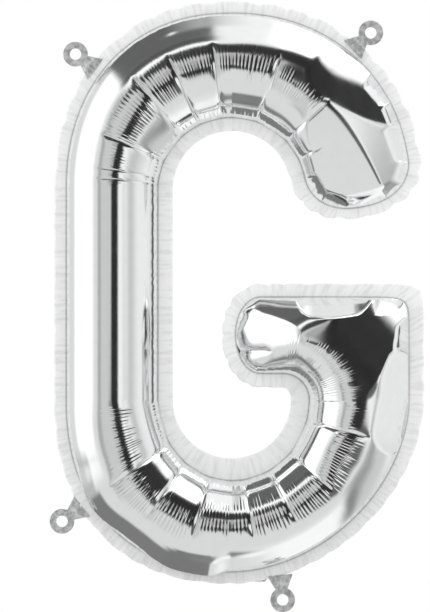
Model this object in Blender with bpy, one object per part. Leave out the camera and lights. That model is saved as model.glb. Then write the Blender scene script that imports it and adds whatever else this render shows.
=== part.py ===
"""Letter-shaped foil balloon, blown up: two mirror-foil films welded together round a flat scalloped
margin, four hanging tabs with punched holes, and the lip of the filling mouth.

Blender 4.5, metres, Z up. The letter stands in the XZ plane and its front film swells towards -Y.
The origin is the middle of the ribbon line between the holes of the two top tabs.

The letter is one inflated tube that runs from the free end of the upper arm, over the top, down the
stem, round the bowl and up to a square corner, and ends at the left end of the crossbar. A station is
one cut across that tube. It knows where the inner and the outer seam are, so that every piece is
swept through the same stations. Lengths in the tables are millimetres, angles degrees.
"""

import math

import bmesh
import bpy
import numpy as np

MM = 0.001

# Heights and centre lines of the letter
LETTER_CENTRE_X = 5.5
UPPER_CENTRE_Z = -93.5
LOWER_CENTRE_Z = -227.5
UPPER_ARM_END_ANGLE = 12.0
CORNER_CENTRE_X = 38.2
CROSSBAR_CAP_X = 24.8

# Distances of the stem's four lines from the centre line: weld edge and seam, counter side and outside
STEM_INNER_EDGE = 37.8
STEM_INNER_SEAM = 47.4
STEM_OUTER_SEAM = 105.3
STEM_OUTER_EDGE = 113.3
BOWL_RIGHT_INNER_SEAM = 49.7
BOWL_RIGHT_OUTER_SEAM = 112.8
BOWL_RIGHT_OUTER_EDGE = 122.5
CORNER_INNER_SEAM = LETTER_CENTRE_X + BOWL_RIGHT_INNER_SEAM - CORNER_CENTRE_X
CORNER_INNER_EDGE = LETTER_CENTRE_X + STEM_INNER_EDGE - CORNER_CENTRE_X
CORNER_OUTER_SEAM = LETTER_CENTRE_X + BOWL_RIGHT_OUTER_SEAM - CORNER_CENTRE_X
CORNER_OUTER_EDGE = LETTER_CENTRE_X + BOWL_RIGHT_OUTER_EDGE - CORNER_CENTRE_X

# A bend is swept by a ray about its centre, and each of its four lines is a quarter of a curve
# |x / half width|^power + |z / half height|^power = 1.
# Columns: name, centre x, centre z, first angle, last angle, half depth of the tube at both ends,
# angles of the radial creases, then (half width, half height, power) of the inner edge, the inner
# seam, the outer seam and the outer edge. The square corner has facets in place of creases.
BENDS = (
    ("upper_right", LETTER_CENTRE_X, UPPER_CENTRE_Z, UPPER_ARM_END_ANGLE, 90.0, 26.5, 28.0,
     (25.0, 42.5, 70.0),
     (STEM_INNER_EDGE, 37.8, 2.0), (47.4, 46.5, 2.0), (113.5, 112.5, 2.13), (122.0, 120.6, 2.13)),
    ("upper_left", LETTER_CENTRE_X, UPPER_CENTRE_Z, 90.0, 180.0, 28.0, 28.8,
     (97.6, 116.0, 132.0, 157.0),
     (STEM_INNER_EDGE, 37.8, 2.0), (STEM_INNER_SEAM, 46.5, 2.0),
     (STEM_OUTER_SEAM, 112.5, 2.2), (STEM_OUTER_EDGE, 120.6, 2.2)),
    ("lower_left", LETTER_CENTRE_X, LOWER_CENTRE_Z, 180.0, 270.0, 28.8, 28.0,
     (215.0, 233.5, 253.7),
     (STEM_INNER_EDGE, 37.3, 2.0), (STEM_INNER_SEAM, 51.7, 2.0),
     (STEM_OUTER_SEAM, 109.3, 2.25), (STEM_OUTER_EDGE, 117.3, 2.25)),
    ("lower_right", LETTER_CENTRE_X, LOWER_CENTRE_Z, 270.0, 360.0, 28.0, 28.5,
     (279.0, 298.0, 318.0, 345.0),
     (STEM_INNER_EDGE, 37.3, 2.0), (BOWL_RIGHT_INNER_SEAM, 51.7, 2.0),
     (BOWL_RIGHT_OUTER_SEAM, 109.3, 1.85), (BOWL_RIGHT_OUTER_EDGE, 117.3, 1.85)),
    ("corner", CORNER_CENTRE_X, LOWER_CENTRE_Z, 0.0, 90.0, 28.5, 25.0,
     (),
     (CORNER_INNER_EDGE, 8.0, 2.0), (CORNER_INNER_SEAM, 17.2, 2.0),
     (CORNER_OUTER_SEAM, 65.5, 16.0), (CORNER_OUTER_EDGE, 74.2, 16.0)),
)
CORNER_EXTRA_DEPTH = 2.0
# Stations of the square corner, closest together at its point
CORNER_ANGLES = (
    0.0, 7.0, 14.0, 20.0, 25.0, 29.0, 32.5, 36.0, 39.3, 42.5, 46.0, 50.5, 56.0, 62.0, 69.0, 76.0, 83.0,
)

# A cut is a superellipse with this power, boxier at the upper arm's end and slacker on its inner half
CUT_POWER = 2.0
ARM_END_POWER = 2.9
ARM_END_POWER_FADE = (28.0, 60.0)
INNER_SHARPER = 0.12
# The upper arm's end: depth falls as an ellipse over this length from this angle of the bend, with
# the run taken at this radius, and closes at the tip as sin^sharpness
END_SLOPE = {"from_angle": 44.0, "length": 73.0, "tip_sharpness": 0.45, "radius": 80.0}
# The crossbar falls to the left from this x, to this share of its depth at its tip
BAR_SLOPE = {"from_x": 49.6, "to_x": 8.2, "tip_share": 0.12, "softness": 0.16}
# The square corner and the crossbar: how far the tube takes to rise from its right seam, at the
# bowl and in the corner, from its top seam at the tip, in the middle and in the corner, and from its
# inner seam at the bowl, in the corner and in the crossbar
CORNER_RISE = {"right": (31.55, 15.0), "top": (15.0, 21.0, 13.0), "inner": (31.55, 28.7, 23.0)}
# Where those reaches change: angles of the corner from the bowl and to the crossbar, and x along the top
RIGHT_CHANGE_ANGLES = (0.0, 24.0)
INNER_CHANGE_ANGLES = (0.0, 16.0)
BAR_CHANGE_ANGLES = (66.0, 90.0)
TOP_MIDDLE_X = (20.0, 52.0)
TOP_CORNER_X = (52.0, 84.0)
# The two outer rises join as (right^k + top^k)^(1/k), with k going from the first value to the sum
OUTER_JOIN = (2.5, 3.3)

# Large flat faces of the taut film. Columns: end of the tube, x, z and height of a point on it, the
# way it falls, fall per length there, gain of that per length, softness of its edges
FACES = (
    ("end", 65.6, -38.7, 28.6, 42.0, 0.50, 0.0, 3.0),
    ("end", 65.6, -38.7, 27.4, -12.0, 0.18, 0.005, 1.2),
    ("end", 65.6, -38.7, 27.4, -78.6, 0.19, 0.002, 1.2),
    ("bar", 76.5, -203.0, 30.0, 42.0, 0.03, 0.0137, 1.5),
    ("bar", 60.0, -187.0, 30.3, 118.0, 0.20, 0.022, 3.0),
)
# Taut facets beside the seam, each a plane that rises inwards from it. Columns: end of the tube,
# span, angle or x of its middle, side of the seam, turn of its way of falling, rise per length, half length
FACETS = (
    ("end", "upper_right", 34.0, "outer", 3.0, 2.6, 12.0),
    ("end", "upper_right", 25.0, "outer", 0.0, 2.3, 9.0),
    ("end", "upper_right", 15.0, "outer", -2.0, 1.35, 17.0),
    ("end", "upper_arm_cap", 62.0, "outer", 0.0, 1.5, 11.0),
    ("end", "upper_arm_cap", 36.0, "outer", 0.0, 1.6, 11.0),
    ("end", "upper_arm_cap", 8.0, "outer", 3.0, 1.9, 13.0),
    ("end", "upper_arm_cap", 32.0, "inner", 0.0, 1.7, 12.0),
    ("end", "upper_arm_cap", 66.0, "inner", 0.0, 1.9, 12.0),
    ("bar", "corner", 64.5, "outer", 1.0, 2.1, 26.0),
    ("bar", "corner", 43.6, "outer", -8.0, 1.6, 11.0),
    ("bar", "corner", 27.0, "outer", 2.0, 2.6, 14.0),
    ("bar", "corner", 0.5, "outer", -14.0, 1.35, 42.0),
    ("bar", "crossbar_cap", 62.0, "outer", 0.0, 1.25, 12.0),
    ("bar", "crossbar_cap", 20.0, "outer", 0.0, 1.4, 10.0),
    ("bar", "crossbar_cap", 20.0, "inner", 0.0, 1.4, 10.0),
    ("bar", "bar", 22.0, "inner", 0.0, 0.79, 12.0),
)
FACET_SOFTNESS = 1.2
# A facet curls up from this share of its half length, by this much at its end, and behind its seam
# by this much times the square of the distance
FACET_FLAT_SHARE = 0.5
FACET_CURL = 16.0
FACET_BACK_CURL = 1.0
# Where the faces end along the bends: how much higher they lie past these angles
ARM_FACES_END = {"from": 50.0, "to": 76.0, "lift": 5.0}
CORNER_FACES_END = {"from": 360.0, "to": 325.0, "lift": 12.0}
# A facet leaves at least this share of the film's own height
LEAST_HEIGHT_SHARE = 0.1

# Rounded ends of the tube. Columns: bend and angle that the end closes, how far its seam and its
# edge reach past that cut, power of the outline.
UPPER_ARM_CAP = {"seam_reach": 27.5, "edge_reach": 34.5, "power": 2.3}
CROSSBAR_CAP = {"seam_reach": 16.6, "edge_reach": 25.6, "power": 2.1}
CAP_ANGLES = (0.0, 20.0, 38.0, 56.0, 73.0)

# Foil, thickened to what the solids need
FILM_WALL = 1.2
PLATE_THICK = 0.6
LAYER_GAP = 0.3
MARGIN_OVERLAP = 2.0

# Stations and rows
CREASE_HALF_ANGLE = 2.2
CREASE_DEPTH = 1.6
LONGEST_STEP = 12.0
STEM_STEPS = 4
ROWS = 12

# Scallops along the weld edge, where the foil gathers on the outside of a curve
SCALLOP_DEPTH = 1.1
SCALLOP_PITCH = 15.0
SCALLOP_POINTS = 4

# Hanging tabs. Columns: name, centre x, centre z of the hole, direction to the margin in degrees,
# distance from the hole to the fold line
TABS = (
    ("tab_top_left", -94.2, -6.8, -37.0, 9.6),
    ("tab_top_right", 94.2, 6.8, -137.0, 8.6),
    ("tab_bottom_left", -102.8, -304.9, 37.0, 10.2),
    ("tab_bottom_middle", 38.0, -355.0, 96.0, 10.2),
)
TAB_RADIUS = 7.9
TAB_HOLE_RADIUS = 3.65
TAB_NECK_HALF = 4.0
TAB_ROOT_HALF = 9.5
ROOT_NEARNESS = 4.0
FOLD_GAP = 0.8
SHORTEST_NECK = 0.1
RING_POINTS = 28

# Lip of the filling mouth, behind the margin at the foot of the bowl
MOUTH_LIP = {"x_low": -2.0, "x_high": 28.0, "z_low": -343.4, "z_high": -338.2}
MOUTH_LIP_CORNER = 1.5

MIRROR_FOIL = {"colour": (0.86, 0.87, 0.88, 1.0), "roughness": 0.06, "metallic": 1.0}
WELDED_FOIL = {"colour": (0.80, 0.81, 0.82, 1.0), "roughness": 0.25, "metallic": 1.0}


def clear_scene():
    """Takes away what the scene holds, so that only the balloon is in it."""
    for obj in list(bpy.data.objects):
        bpy.data.objects.remove(obj, do_unlink=True)


def foil_material(name, look):
    material = bpy.data.materials.new(name)
    material.use_nodes = True
    shader = material.node_tree.nodes["Principled BSDF"]
    shader.inputs["Base Color"].default_value = look["colour"]
    shader.inputs["Roughness"].default_value = look["roughness"]
    shader.inputs["Metallic"].default_value = look["metallic"]
    return material


def smooth(low, high, value):
    """0 below low, 1 above high, and an even S between them."""
    t = np.clip((np.asarray(value, float) - low) / (high - low), 0.0, 1.0)
    return t * t * (3.0 - 2.0 * t)


def ray_length(angle, curve, inset=0.0):
    """Distance from the centre of |x/a|^n + |z/b|^n = 1 to the curve, along the ray at this angle."""
    half_width, half_height, power = curve
    across = abs(math.cos(math.radians(angle))) / (half_width - inset)
    up = abs(math.sin(math.radians(angle))) / (half_height - inset)
    return (across**power + up**power) ** (-1.0 / power)


def bend_named(name):
    return next(bend for bend in BENDS if bend[0] == name)


def bend_chord(bend, angle, inset=0.0, edge=False):
    """The tube's inner and outer point on one ray of a bend, each drawn in by the inset."""
    centre = np.array([bend[1], bend[2]])
    inner, outer = (bend[8], bend[11]) if edge else (bend[9], bend[10])
    ray = np.array([math.cos(math.radians(angle)), math.sin(math.radians(angle))])
    return (
        centre + ray * ray_length(angle, inner, -inset),
        centre + ray * ray_length(angle, outer, inset),
    )


def bend_half_depth(bend, angle):
    """Half the tube's depth: an even change from end to end, a swelling in the square corner, and a
    fall along the upper arm's end."""
    share = smooth(bend[3], bend[4], angle)
    depth = bend[5] + (bend[6] - bend[5]) * share
    if bend[0] == "corner":
        depth += CORNER_EXTRA_DEPTH * math.sin(math.radians(2.0 * angle))
    if bend[0] == "upper_right":
        depth = arm_end_depth(math.radians(END_SLOPE["from_angle"] - angle) * END_SLOPE["radius"])
    return float(depth)


def arm_end_depth(run):
    """Half depth past the angle where the upper arm starts to fall: an ellipse over the run."""
    share = min(max(run, 0.0) / END_SLOPE["length"], 1.0)
    return bend_named("upper_right")[6] * math.sqrt(1.0 - share**2)


def cap_chord(base_in, base_out, base_outward, reach, power, angle):
    """The chord of a rounded end at this angle: 0 is its tip, 90 the cut that it closes."""
    middle = (base_in + base_out) / 2.0
    half = (base_out - base_in) / 2.0
    share = math.sin(math.radians(angle)) ** (2.0 / power)
    along = math.cos(math.radians(angle)) ** (2.0 / power)
    tip = middle + base_outward * reach * along
    return tip - half * share, tip + half * share


def outward(base_in, base_out, turn):
    """The unit direction square to a cut, turned the way that the tube ends."""
    run = (base_out - base_in) / np.linalg.norm(base_out - base_in)
    return np.array([run[1], -run[0]]) * turn


def upper_arm_cap(angle, inset=0.0, edge=False):
    bend = bend_named("upper_right")
    base_in, base_out = bend_chord(bend, UPPER_ARM_END_ANGLE, inset, edge)
    cap = UPPER_ARM_CAP
    reach = cap["edge_reach"] if edge else cap["seam_reach"] - inset
    direction = outward(base_in, base_out, 1.0)
    return cap_chord(base_in, base_out, direction, reach, cap["power"], angle)


def crossbar_chord(x, inset=0.0, edge=False):
    """The crossbar's lower and upper line at this x: both run level from the corner."""
    low, high = bend_chord(bend_named("corner"), 90.0, inset, edge)
    return np.array([x, low[1]]), np.array([x, high[1]])


def crossbar_cap(angle, inset=0.0, edge=False):
    base_in, base_out = crossbar_chord(CROSSBAR_CAP_X, inset, edge)
    cap = CROSSBAR_CAP
    reach = cap["edge_reach"] if edge else cap["seam_reach"] - inset
    direction = outward(base_in, base_out, -1.0)
    return cap_chord(base_in, base_out, direction, reach, cap["power"], angle)


def stem_chord(z, inset=0.0, edge=False):
    inner, outer = (STEM_INNER_EDGE, STEM_OUTER_EDGE) if edge else (STEM_INNER_SEAM, STEM_OUTER_SEAM)
    return (
        np.array([LETTER_CENTRE_X - inner - inset, z]),
        np.array([LETTER_CENTRE_X - outer + inset, z]),
    )


def bend_angles(bend):
    """Angles of a bend's stations: its ends, each crease with a shoulder either side, and what keeps
    every step short."""
    if bend[0] == "corner":
        return CORNER_ANGLES
    fixed = {bend[3], bend[4]}
    for crease in bend[7]:
        fixed.update((crease - CREASE_HALF_ANGLE, crease, crease + CREASE_HALF_ANGLE))
    fixed = sorted(fixed)
    angles = []
    for low, high in zip(fixed, fixed[1:]):
        steps = max(1, math.ceil((high - low) / LONGEST_STEP))
        angles.extend(low + (high - low) * k / steps for k in range(steps))
    return angles


def stations():
    """The tube's cuts in order. Each is a dictionary: span and value name the cut, chord(inset) gives
    the inner and the outer seam point, depth is half the tube's depth, crease is 1 on a crease, and
    facet holds the two creases that the cut lies between, with its share of the way."""
    cuts = []
    arm_run = math.radians(END_SLOPE["from_angle"] - UPPER_ARM_END_ANGLE) * END_SLOPE["radius"]
    for angle in CAP_ANGLES:
        along = math.cos(math.radians(angle)) ** (2.0 / UPPER_ARM_CAP["power"])
        swell = math.sin(math.radians(angle)) ** END_SLOPE["tip_sharpness"]
        depth = arm_end_depth(arm_run + UPPER_ARM_CAP["seam_reach"] * along) * swell
        cuts.append(plain_cut("upper_arm_cap", angle, upper_arm_cap, depth))
    for name in ("upper_right", "upper_left"):
        cuts.extend(bend_cuts(bend_named(name)))
    for step in range(STEM_STEPS):
        z = UPPER_CENTRE_Z + (LOWER_CENTRE_Z - UPPER_CENTRE_Z) * step / STEM_STEPS
        cuts.append(plain_cut("stem", z, stem_chord, bend_half_depth(bend_named("upper_left"), 180.0)))
    for name in ("lower_left", "lower_right", "corner"):
        cuts.extend(bend_cuts(bend_named(name)))
    bar_depth = bend_half_depth(bend_named("corner"), 90.0)
    cuts.append(plain_cut("bar", CORNER_CENTRE_X, crossbar_chord, bar_depth))
    for angle in (90.0,) + CAP_ANGLES[::-1]:
        swell = math.sqrt(math.sin(math.radians(angle)))
        cuts.append(plain_cut("crossbar_cap", angle, crossbar_cap, bar_depth * swell))
    return cuts


def plain_cut(span, value, chord, depth):
    return {"span": span, "value": value, "chord": lambda inset: chord(value, inset), "depth": depth}


def bend_cuts(bend):
    marks = sorted({bend[3], bend[4], *bend[7]})
    cuts = []
    for angle in bend_angles(bend):
        low = max(mark for mark in marks if mark <= angle)
        high = min(mark for mark in marks if mark > angle)
        cut = {
            "span": bend[0],
            "value": angle,
            "chord": lambda inset, a=angle: bend_chord(bend, a, inset),
            "depth": bend_half_depth(bend, angle),
        }
        if bend[7]:
            cut["crease"] = float(angle in bend[7])
            cut["facet"] = (
                lambda inset, a=low: bend_chord(bend, a, inset),
                lambda inset, a=high: bend_chord(bend, a, inset),
                (angle - low) / (high - low),
            )
        cuts.append(cut)
    return cuts


def cut_power(cut):
    if cut["span"] == "upper_arm_cap":
        return ARM_END_POWER
    if cut["span"] == "upper_right":
        return float(ARM_END_POWER - (ARM_END_POWER - CUT_POWER) * smooth(*ARM_END_POWER_FADE, cut["value"]))
    return CUT_POWER


def section(chord, depth, phi, power):
    """A cut's rows: a half superellipse from the outer seam, phi 0, over the crest to the inner seam."""
    inner, outer = chord
    middle, half = (inner + outer) / 2.0, (outer - inner) / 2.0
    across = np.cos(phi)
    flat = middle + across[:, None] * half
    own = np.where(across > 0.0, power, power - INNER_SHARPER)
    rise = np.clip(1.0 - np.abs(across) ** own, 0.0, 1.0) ** (1.0 / own)
    return np.stack([flat[:, 0], -depth * rise, flat[:, 1]], 1)


def softer_of(a, b, width):
    """The lower of two heights, with their meeting rounded over width: min - (w - |a - b|)^2 / 4w."""
    return np.minimum(a, b) - np.maximum(width - np.abs(a - b), 0.0) ** 2 / (4.0 * width)


def corner_height(points, cut, inset):
    """Height of the square corner and the crossbar: depth * rise from the outer seams * rise from
    the inner seam * fall to the left. A rise is a quarter ellipse over its own reach."""
    x, z = points[:, 0], points[:, 2]
    turn = cut["value"] if cut["span"] == "corner" else 90.0
    seam_right = CORNER_CENTRE_X + CORNER_OUTER_SEAM - inset
    seam_top = LOWER_CENTRE_Z + bend_named("corner")[10][1] - inset
    at_bowl, in_corner = CORNER_RISE["right"]
    reach_right = at_bowl + (in_corner - at_bowl) * smooth(*RIGHT_CHANGE_ANGLES, turn)
    at_tip, in_middle, in_corner = CORNER_RISE["top"]
    reach_top = at_tip + (in_middle - at_tip) * smooth(*TOP_MIDDLE_X, x)
    reach_top = reach_top - (in_middle - in_corner) * smooth(*TOP_CORNER_X, x)
    right = np.clip(1.0 - (seam_right - x) / reach_right, 0.0, 1.0)
    top = np.clip(1.0 - (seam_top - z) / reach_top, 0.0, 1.0)
    k = OUTER_JOIN[0] + OUTER_JOIN[1] * np.maximum(right, top) ** 4
    whole = (right**k + top**k) ** (1.0 / k)
    whole = np.clip(whole / max(whole[0], MM), 0.0, 1.0)
    at_bowl, in_corner, in_bar = CORNER_RISE["inner"]
    reach_inner = at_bowl + (in_corner - at_bowl) * smooth(*INNER_CHANGE_ANGLES, turn)
    reach_inner = reach_inner - (in_corner - in_bar) * smooth(*BAR_CHANGE_ANGLES, turn)
    seam_inner = cut["chord"](inset)[0]
    inner = np.clip(1.0 - np.hypot(x - seam_inner[0], z - seam_inner[1]) / reach_inner, 0.0, 1.0)
    left = (x - BAR_SLOPE["to_x"]) / (BAR_SLOPE["from_x"] - BAR_SLOPE["to_x"])
    left = BAR_SLOPE["tip_share"] + (1.0 - BAR_SLOPE["tip_share"]) * left
    left = np.clip(softer_of(left, np.ones_like(x), BAR_SLOPE["softness"]), 0.0, 1.0)
    return cut["depth"] * np.sqrt(1.0 - whole**2) * np.sqrt(1.0 - inner**2) * left


def chord_at(span, value):
    """The chord of any span at a value of its own measure."""
    ends = {"upper_arm_cap": upper_arm_cap, "crossbar_cap": crossbar_cap, "bar": crossbar_chord}
    return ends[span](value) if span in ends else bend_chord(bend_named(span), value)


def seam_point(span, value, side):
    """A point of the seam and the unit direction away from the film there."""
    near = [chord_at(span, value + step) for step in (-0.5, 0.0, 0.5)]
    own = 1 if side == "outer" else 0
    along = near[2][own] - near[0][own]
    away = np.array([along[1], -along[0]]) / np.linalg.norm(along)
    across = near[1][own] - near[1][1 - own]
    return near[1][own], away * math.copysign(1.0, away @ across)


def faced_height(points, cut, inset):
    """Height of the film cut by the flat faces and the facets of its end of the tube. A face's height
    is height - fall * t - gain * t^2 / 2, with t the distance the way it falls."""
    height = -points[:, 1]
    span, value = cut["span"], cut["value"]
    own, lift = None, 0.0
    if span in ("upper_arm_cap", "upper_right"):
        own = "end"
    if span in ("lower_right", "corner", "bar", "crossbar_cap"):
        own = "bar"
    if span == "upper_right":
        lift = ARM_FACES_END["lift"] * smooth(ARM_FACES_END["from"], ARM_FACES_END["to"], value)
    if span == "lower_right":
        lift = CORNER_FACES_END["lift"] * smooth(-CORNER_FACES_END["from"], -CORNER_FACES_END["to"], -value)
    flat = points[:, ::2]
    least = LEAST_HEIGHT_SHARE * height
    for end, x, z, at, turn, fall, gain, softness in FACES:
        if end == own:
            way = np.array([math.cos(math.radians(turn)), math.sin(math.radians(turn))])
            t = (flat - np.array([x, z])) @ way
            plane = at - fall * t - gain * np.maximum(t, 0.0) ** 2 / 2.0 + lift
            height = softer_of(height, plane - inset * math.hypot(1.0, fall), softness)
    for end, facet_span, at, side, turn, rise, reach in FACETS:
        if end == own:
            point, away = seam_point(facet_span, at, side)
            c, s = math.cos(math.radians(turn)), math.sin(math.radians(turn))
            away = np.array([away[0] * c - away[1] * s, away[0] * s + away[1] * c])
            inwards = (point - flat) @ away
            aside = np.abs((flat - point) @ np.array([-away[1], away[0]]))
            past = np.maximum(aside / reach - FACET_FLAT_SHARE, 0.0) / (1.0 - FACET_FLAT_SHARE)
            behind = np.maximum(-inwards, 0.0)
            plane = rise * inwards + FACET_CURL * past**2 + FACET_BACK_CURL * behind**2
            height = softer_of(height, plane - inset * math.hypot(1.0, rise), FACET_SOFTNESS)
    return np.maximum(height, least)


def film_rows(inset):
    """Every row of every cut of the front film, drawn in by the inset. The outer half is the smooth
    curve. The inner half is slack, so that it runs straight from crease to crease, and each crease
    is a fold pushed into the tube. The corner, the crossbar and the faces come last."""
    phi = np.linspace(0.0, np.pi, ROWS + 1)
    slack = smooth(math.radians(55.0), math.radians(90.0), phi)[:, None]
    fold = (smooth(math.radians(50.0), math.radians(90.0), phi)
            * (1.0 - smooth(math.radians(140.0), math.radians(180.0), phi)))[:, None]
    rows = []
    for cut in stations():
        depth = max(cut["depth"] - inset, 0.0)
        power = cut_power(cut)
        points = section(cut["chord"](inset), depth, phi, power)
        if "facet" in cut:
            low, high, share = cut["facet"]
            straight = ((1.0 - share) * section(low(inset), depth, phi, power)
                        + share * section(high(inset), depth, phi, power))
            points = points * (1.0 - slack) + straight * slack
            middle = (points[0] + points[-1]) / 2.0
            reach = np.linalg.norm(points - middle, axis=1)[:, None]
            points = middle + (points - middle) * (1.0 - cut["crease"] * CREASE_DEPTH * fold / reach)
        if cut["span"] in ("corner", "bar", "crossbar_cap"):
            points[:, 1] = -np.maximum(corner_height(points, cut, inset) - inset, 0.0)
        points[:, 1] = -faced_height(points, cut, inset)
        points[(0, -1), 1] = 0.0
        rows.append(points)
    return np.array(rows)


def film(name, side, material):
    """One film as a thin closed shell, open towards the other film. side is -1 at the front and 1 at
    the back. The rows at both tips run together into one point."""
    foot = PLATE_THICK / 2.0 + LAYER_GAP
    skins = []
    for inset in (0.0, FILM_WALL):
        rows = film_rows(inset)
        rows[:, :, 1] -= foot
        rows[:, :, 1] *= -side
        skins.append(rows)
    mesh = bmesh.new()
    skin_verts = []
    for rows in skins:
        count = len(rows)
        first = mesh.verts.new(rows[0, 0] * MM)
        last = mesh.verts.new(rows[-1, 0] * MM)
        grid = [[first] * (ROWS + 1)]
        grid += [[mesh.verts.new(point * MM) for point in rows[k]] for k in range(1, count - 1)]
        grid += [[last] * (ROWS + 1)]
        skin_verts.append(grid)
    for grid in skin_verts:
        for low, high in zip(grid, grid[1:]):
            for row in range(ROWS):
                add_face(mesh, (low[row], low[row + 1], high[row + 1], high[row]))
    outside, inside = skin_verts
    for row in (0, ROWS):
        for k in range(len(outside) - 1):
            add_face(mesh, (outside[k][row], outside[k + 1][row], inside[k + 1][row], inside[k][row]))
    return finish_mesh(mesh, name, material)


def add_face(mesh, corners):
    """A face from these corners, with those that fall together taken once."""
    kept = []
    for vert in corners:
        if vert not in kept:
            kept.append(vert)
    if len(kept) > 2:
        mesh.faces.new(kept)


def finish_mesh(mesh, name, material, origin=(0.0, 0.0, 0.0)):
    """Turns the faces outwards, smooths what is round, and puts the mesh into a named object."""
    bmesh.ops.recalc_face_normals(mesh, faces=mesh.faces)
    data = bpy.data.meshes.new(name)
    bmesh.ops.translate(mesh, verts=mesh.verts, vec=[-value for value in origin])
    mesh.to_mesh(data)
    mesh.free()
    data.materials.append(material)
    data.shade_smooth()
    data.set_sharp_from_angle(angle=math.radians(35.0))
    obj = bpy.data.objects.new(name, data)
    obj.location = origin
    bpy.context.scene.collection.objects.link(obj)
    return obj


def plate(name, loops, y_low, y_high, material, origin=(0.0, 0.0, 0.0)):
    """A flat plate between two depths, with the first loop as its outline and the others as holes."""
    mesh = bmesh.new()
    for loop in loops:
        verts = [mesh.verts.new((x * MM, y_low * MM, z * MM)) for x, z in loop]
        for k, vert in enumerate(verts):
            mesh.edges.new((vert, verts[(k + 1) % len(verts)]))
    bmesh.ops.triangle_fill(mesh, use_beauty=True, use_dissolve=False, edges=mesh.edges)
    grown = bmesh.ops.extrude_face_region(mesh, geom=mesh.faces[:])
    raised = [item for item in grown["geom"] if isinstance(item, bmesh.types.BMVert)]
    bmesh.ops.translate(mesh, verts=raised, vec=(0.0, (y_high - y_low) * MM, 0.0))
    return finish_mesh(mesh, name, material, origin)


def path_chords(inset=0.0, edge=False, step=4.0):
    """Chords of the whole tube at an even, finer step, for the outlines of flat pieces."""
    chords = [upper_arm_cap(a, inset, edge) for a in np.arange(0.0, 90.0, 9.0)]
    for name in ("upper_right", "upper_left", "lower_left", "lower_right", "corner"):
        bend = bend_named(name)
        if name == "lower_left":
            heights = np.linspace(UPPER_CENTRE_Z, LOWER_CENTRE_Z, 8)[:-1]
            chords += [stem_chord(z, inset, edge) for z in heights]
        count = round((bend[4] - bend[3]) / step)
        angles = bend[3] + (bend[4] - bend[3]) * np.arange(count) / count
        chords += [bend_chord(bend, a, inset, edge) for a in angles]
    chords.append(crossbar_chord(CORNER_CENTRE_X, inset, edge))
    chords += [crossbar_cap(a, inset, edge) for a in np.arange(90.0, -0.1, -9.0)]
    return chords


def outer_line(chords):
    return np.array([outer for _, outer in chords])


def inner_line(chords):
    return np.array([inner for inner, _ in chords])


def scalloped(line):
    """The line with shallow outward arcs and small notches between them, all of one pitch."""
    run = np.concatenate([[0.0], np.cumsum(np.linalg.norm(np.diff(line, axis=0), axis=1))])
    arcs = round(run[-1] / SCALLOP_PITCH)
    places = np.linspace(0.0, run[-1], arcs * SCALLOP_POINTS + 1)
    even = np.stack([np.interp(places, run, line[:, axis]) for axis in (0, 1)], 1)
    tangent = np.gradient(even, axis=0)
    tangent /= np.linalg.norm(tangent, axis=1)[:, None]
    inward = np.stack([-tangent[:, 1], tangent[:, 0]], 1)
    notch = 1.0 - np.sqrt(np.abs(np.sin(np.pi * np.arange(len(places)) / SCALLOP_POINTS)))
    return even + inward * SCALLOP_DEPTH * notch[:, None]


def tab_axes(tab):
    """A tab's hole centre, the unit direction to the margin, and the direction of its fold line."""
    angle = math.radians(tab[3])
    ahead = np.array([math.cos(angle), math.sin(angle)])
    return np.array(tab[1:3]), ahead, np.array([ahead[1], -ahead[0]])


def with_roots(loop):
    """The margin's outline with a root grown out of it to the fold line of each tab."""
    for tab in TABS:
        centre, ahead, along = tab_axes(tab)
        side = (loop - centre) @ along
        far = (loop - centre) @ ahead
        taken = (np.abs(side) < TAB_ROOT_HALF) & (np.abs(far) < ROOT_NEARNESS * TAB_RADIUS)
        start = int(np.flatnonzero(taken & ~np.roll(taken, 1))[0])
        loop = np.roll(loop, -start, axis=0)
        taken = np.roll(taken, -start)
        first_side = math.copysign(1.0, side[start])
        root_far = tab[4] + FOLD_GAP / 2.0
        root = [centre + ahead * root_far + along * first_side * sign * TAB_NECK_HALF for sign in (1.0, -1.0)]
        loop = np.concatenate([root, loop[~taken]])
    return loop


def seam_margin(material):
    """The welded margin: a flat band from just inside the seams out to the scalloped edge."""
    edge = path_chords(edge=True)
    outside = scalloped(outer_line(edge))
    counter_side = inner_line(edge)[::-1][1:-1]
    outline = with_roots(np.concatenate([outside, counter_side]))
    seams = path_chords(inset=MARGIN_OVERLAP)
    hole = np.concatenate([outer_line(seams), inner_line(seams)[::-1][1:-1]])
    half = PLATE_THICK / 2.0
    return plate("seam_margin", [outline, hole], -half, half, material)


def hanging_tab(tab, material):
    """A ring with a short neck that ends at its fold line. Its origin is on the fold."""
    centre, ahead, along = tab_axes(tab)
    neck_far = tab[4] - FOLD_GAP / 2.0
    meet = math.asin(TAB_NECK_HALF / TAB_RADIUS)
    turns = np.linspace(meet, 2.0 * math.pi - meet, RING_POINTS)
    ring = centre + TAB_RADIUS * (np.cos(turns)[:, None] * ahead + np.sin(turns)[:, None] * along)
    neck = [centre + ahead * neck_far + along * sign * TAB_NECK_HALF for sign in (-1.0, 1.0)]
    if neck_far > TAB_RADIUS * math.cos(meet) + SHORTEST_NECK:
        outline = np.concatenate([ring, neck])
    else:
        outline = ring
    hole_turns = np.linspace(0.0, 2.0 * math.pi, RING_POINTS, endpoint=False)
    hole = centre + TAB_HOLE_RADIUS * np.stack([np.cos(hole_turns), np.sin(hole_turns)], 1)
    half = PLATE_THICK / 2.0
    fold = centre + ahead * tab[4]
    origin = (fold[0] * MM, 0.0, fold[1] * MM)
    return plate(tab[0], [outline, hole], -half, half, material, origin)


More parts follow.
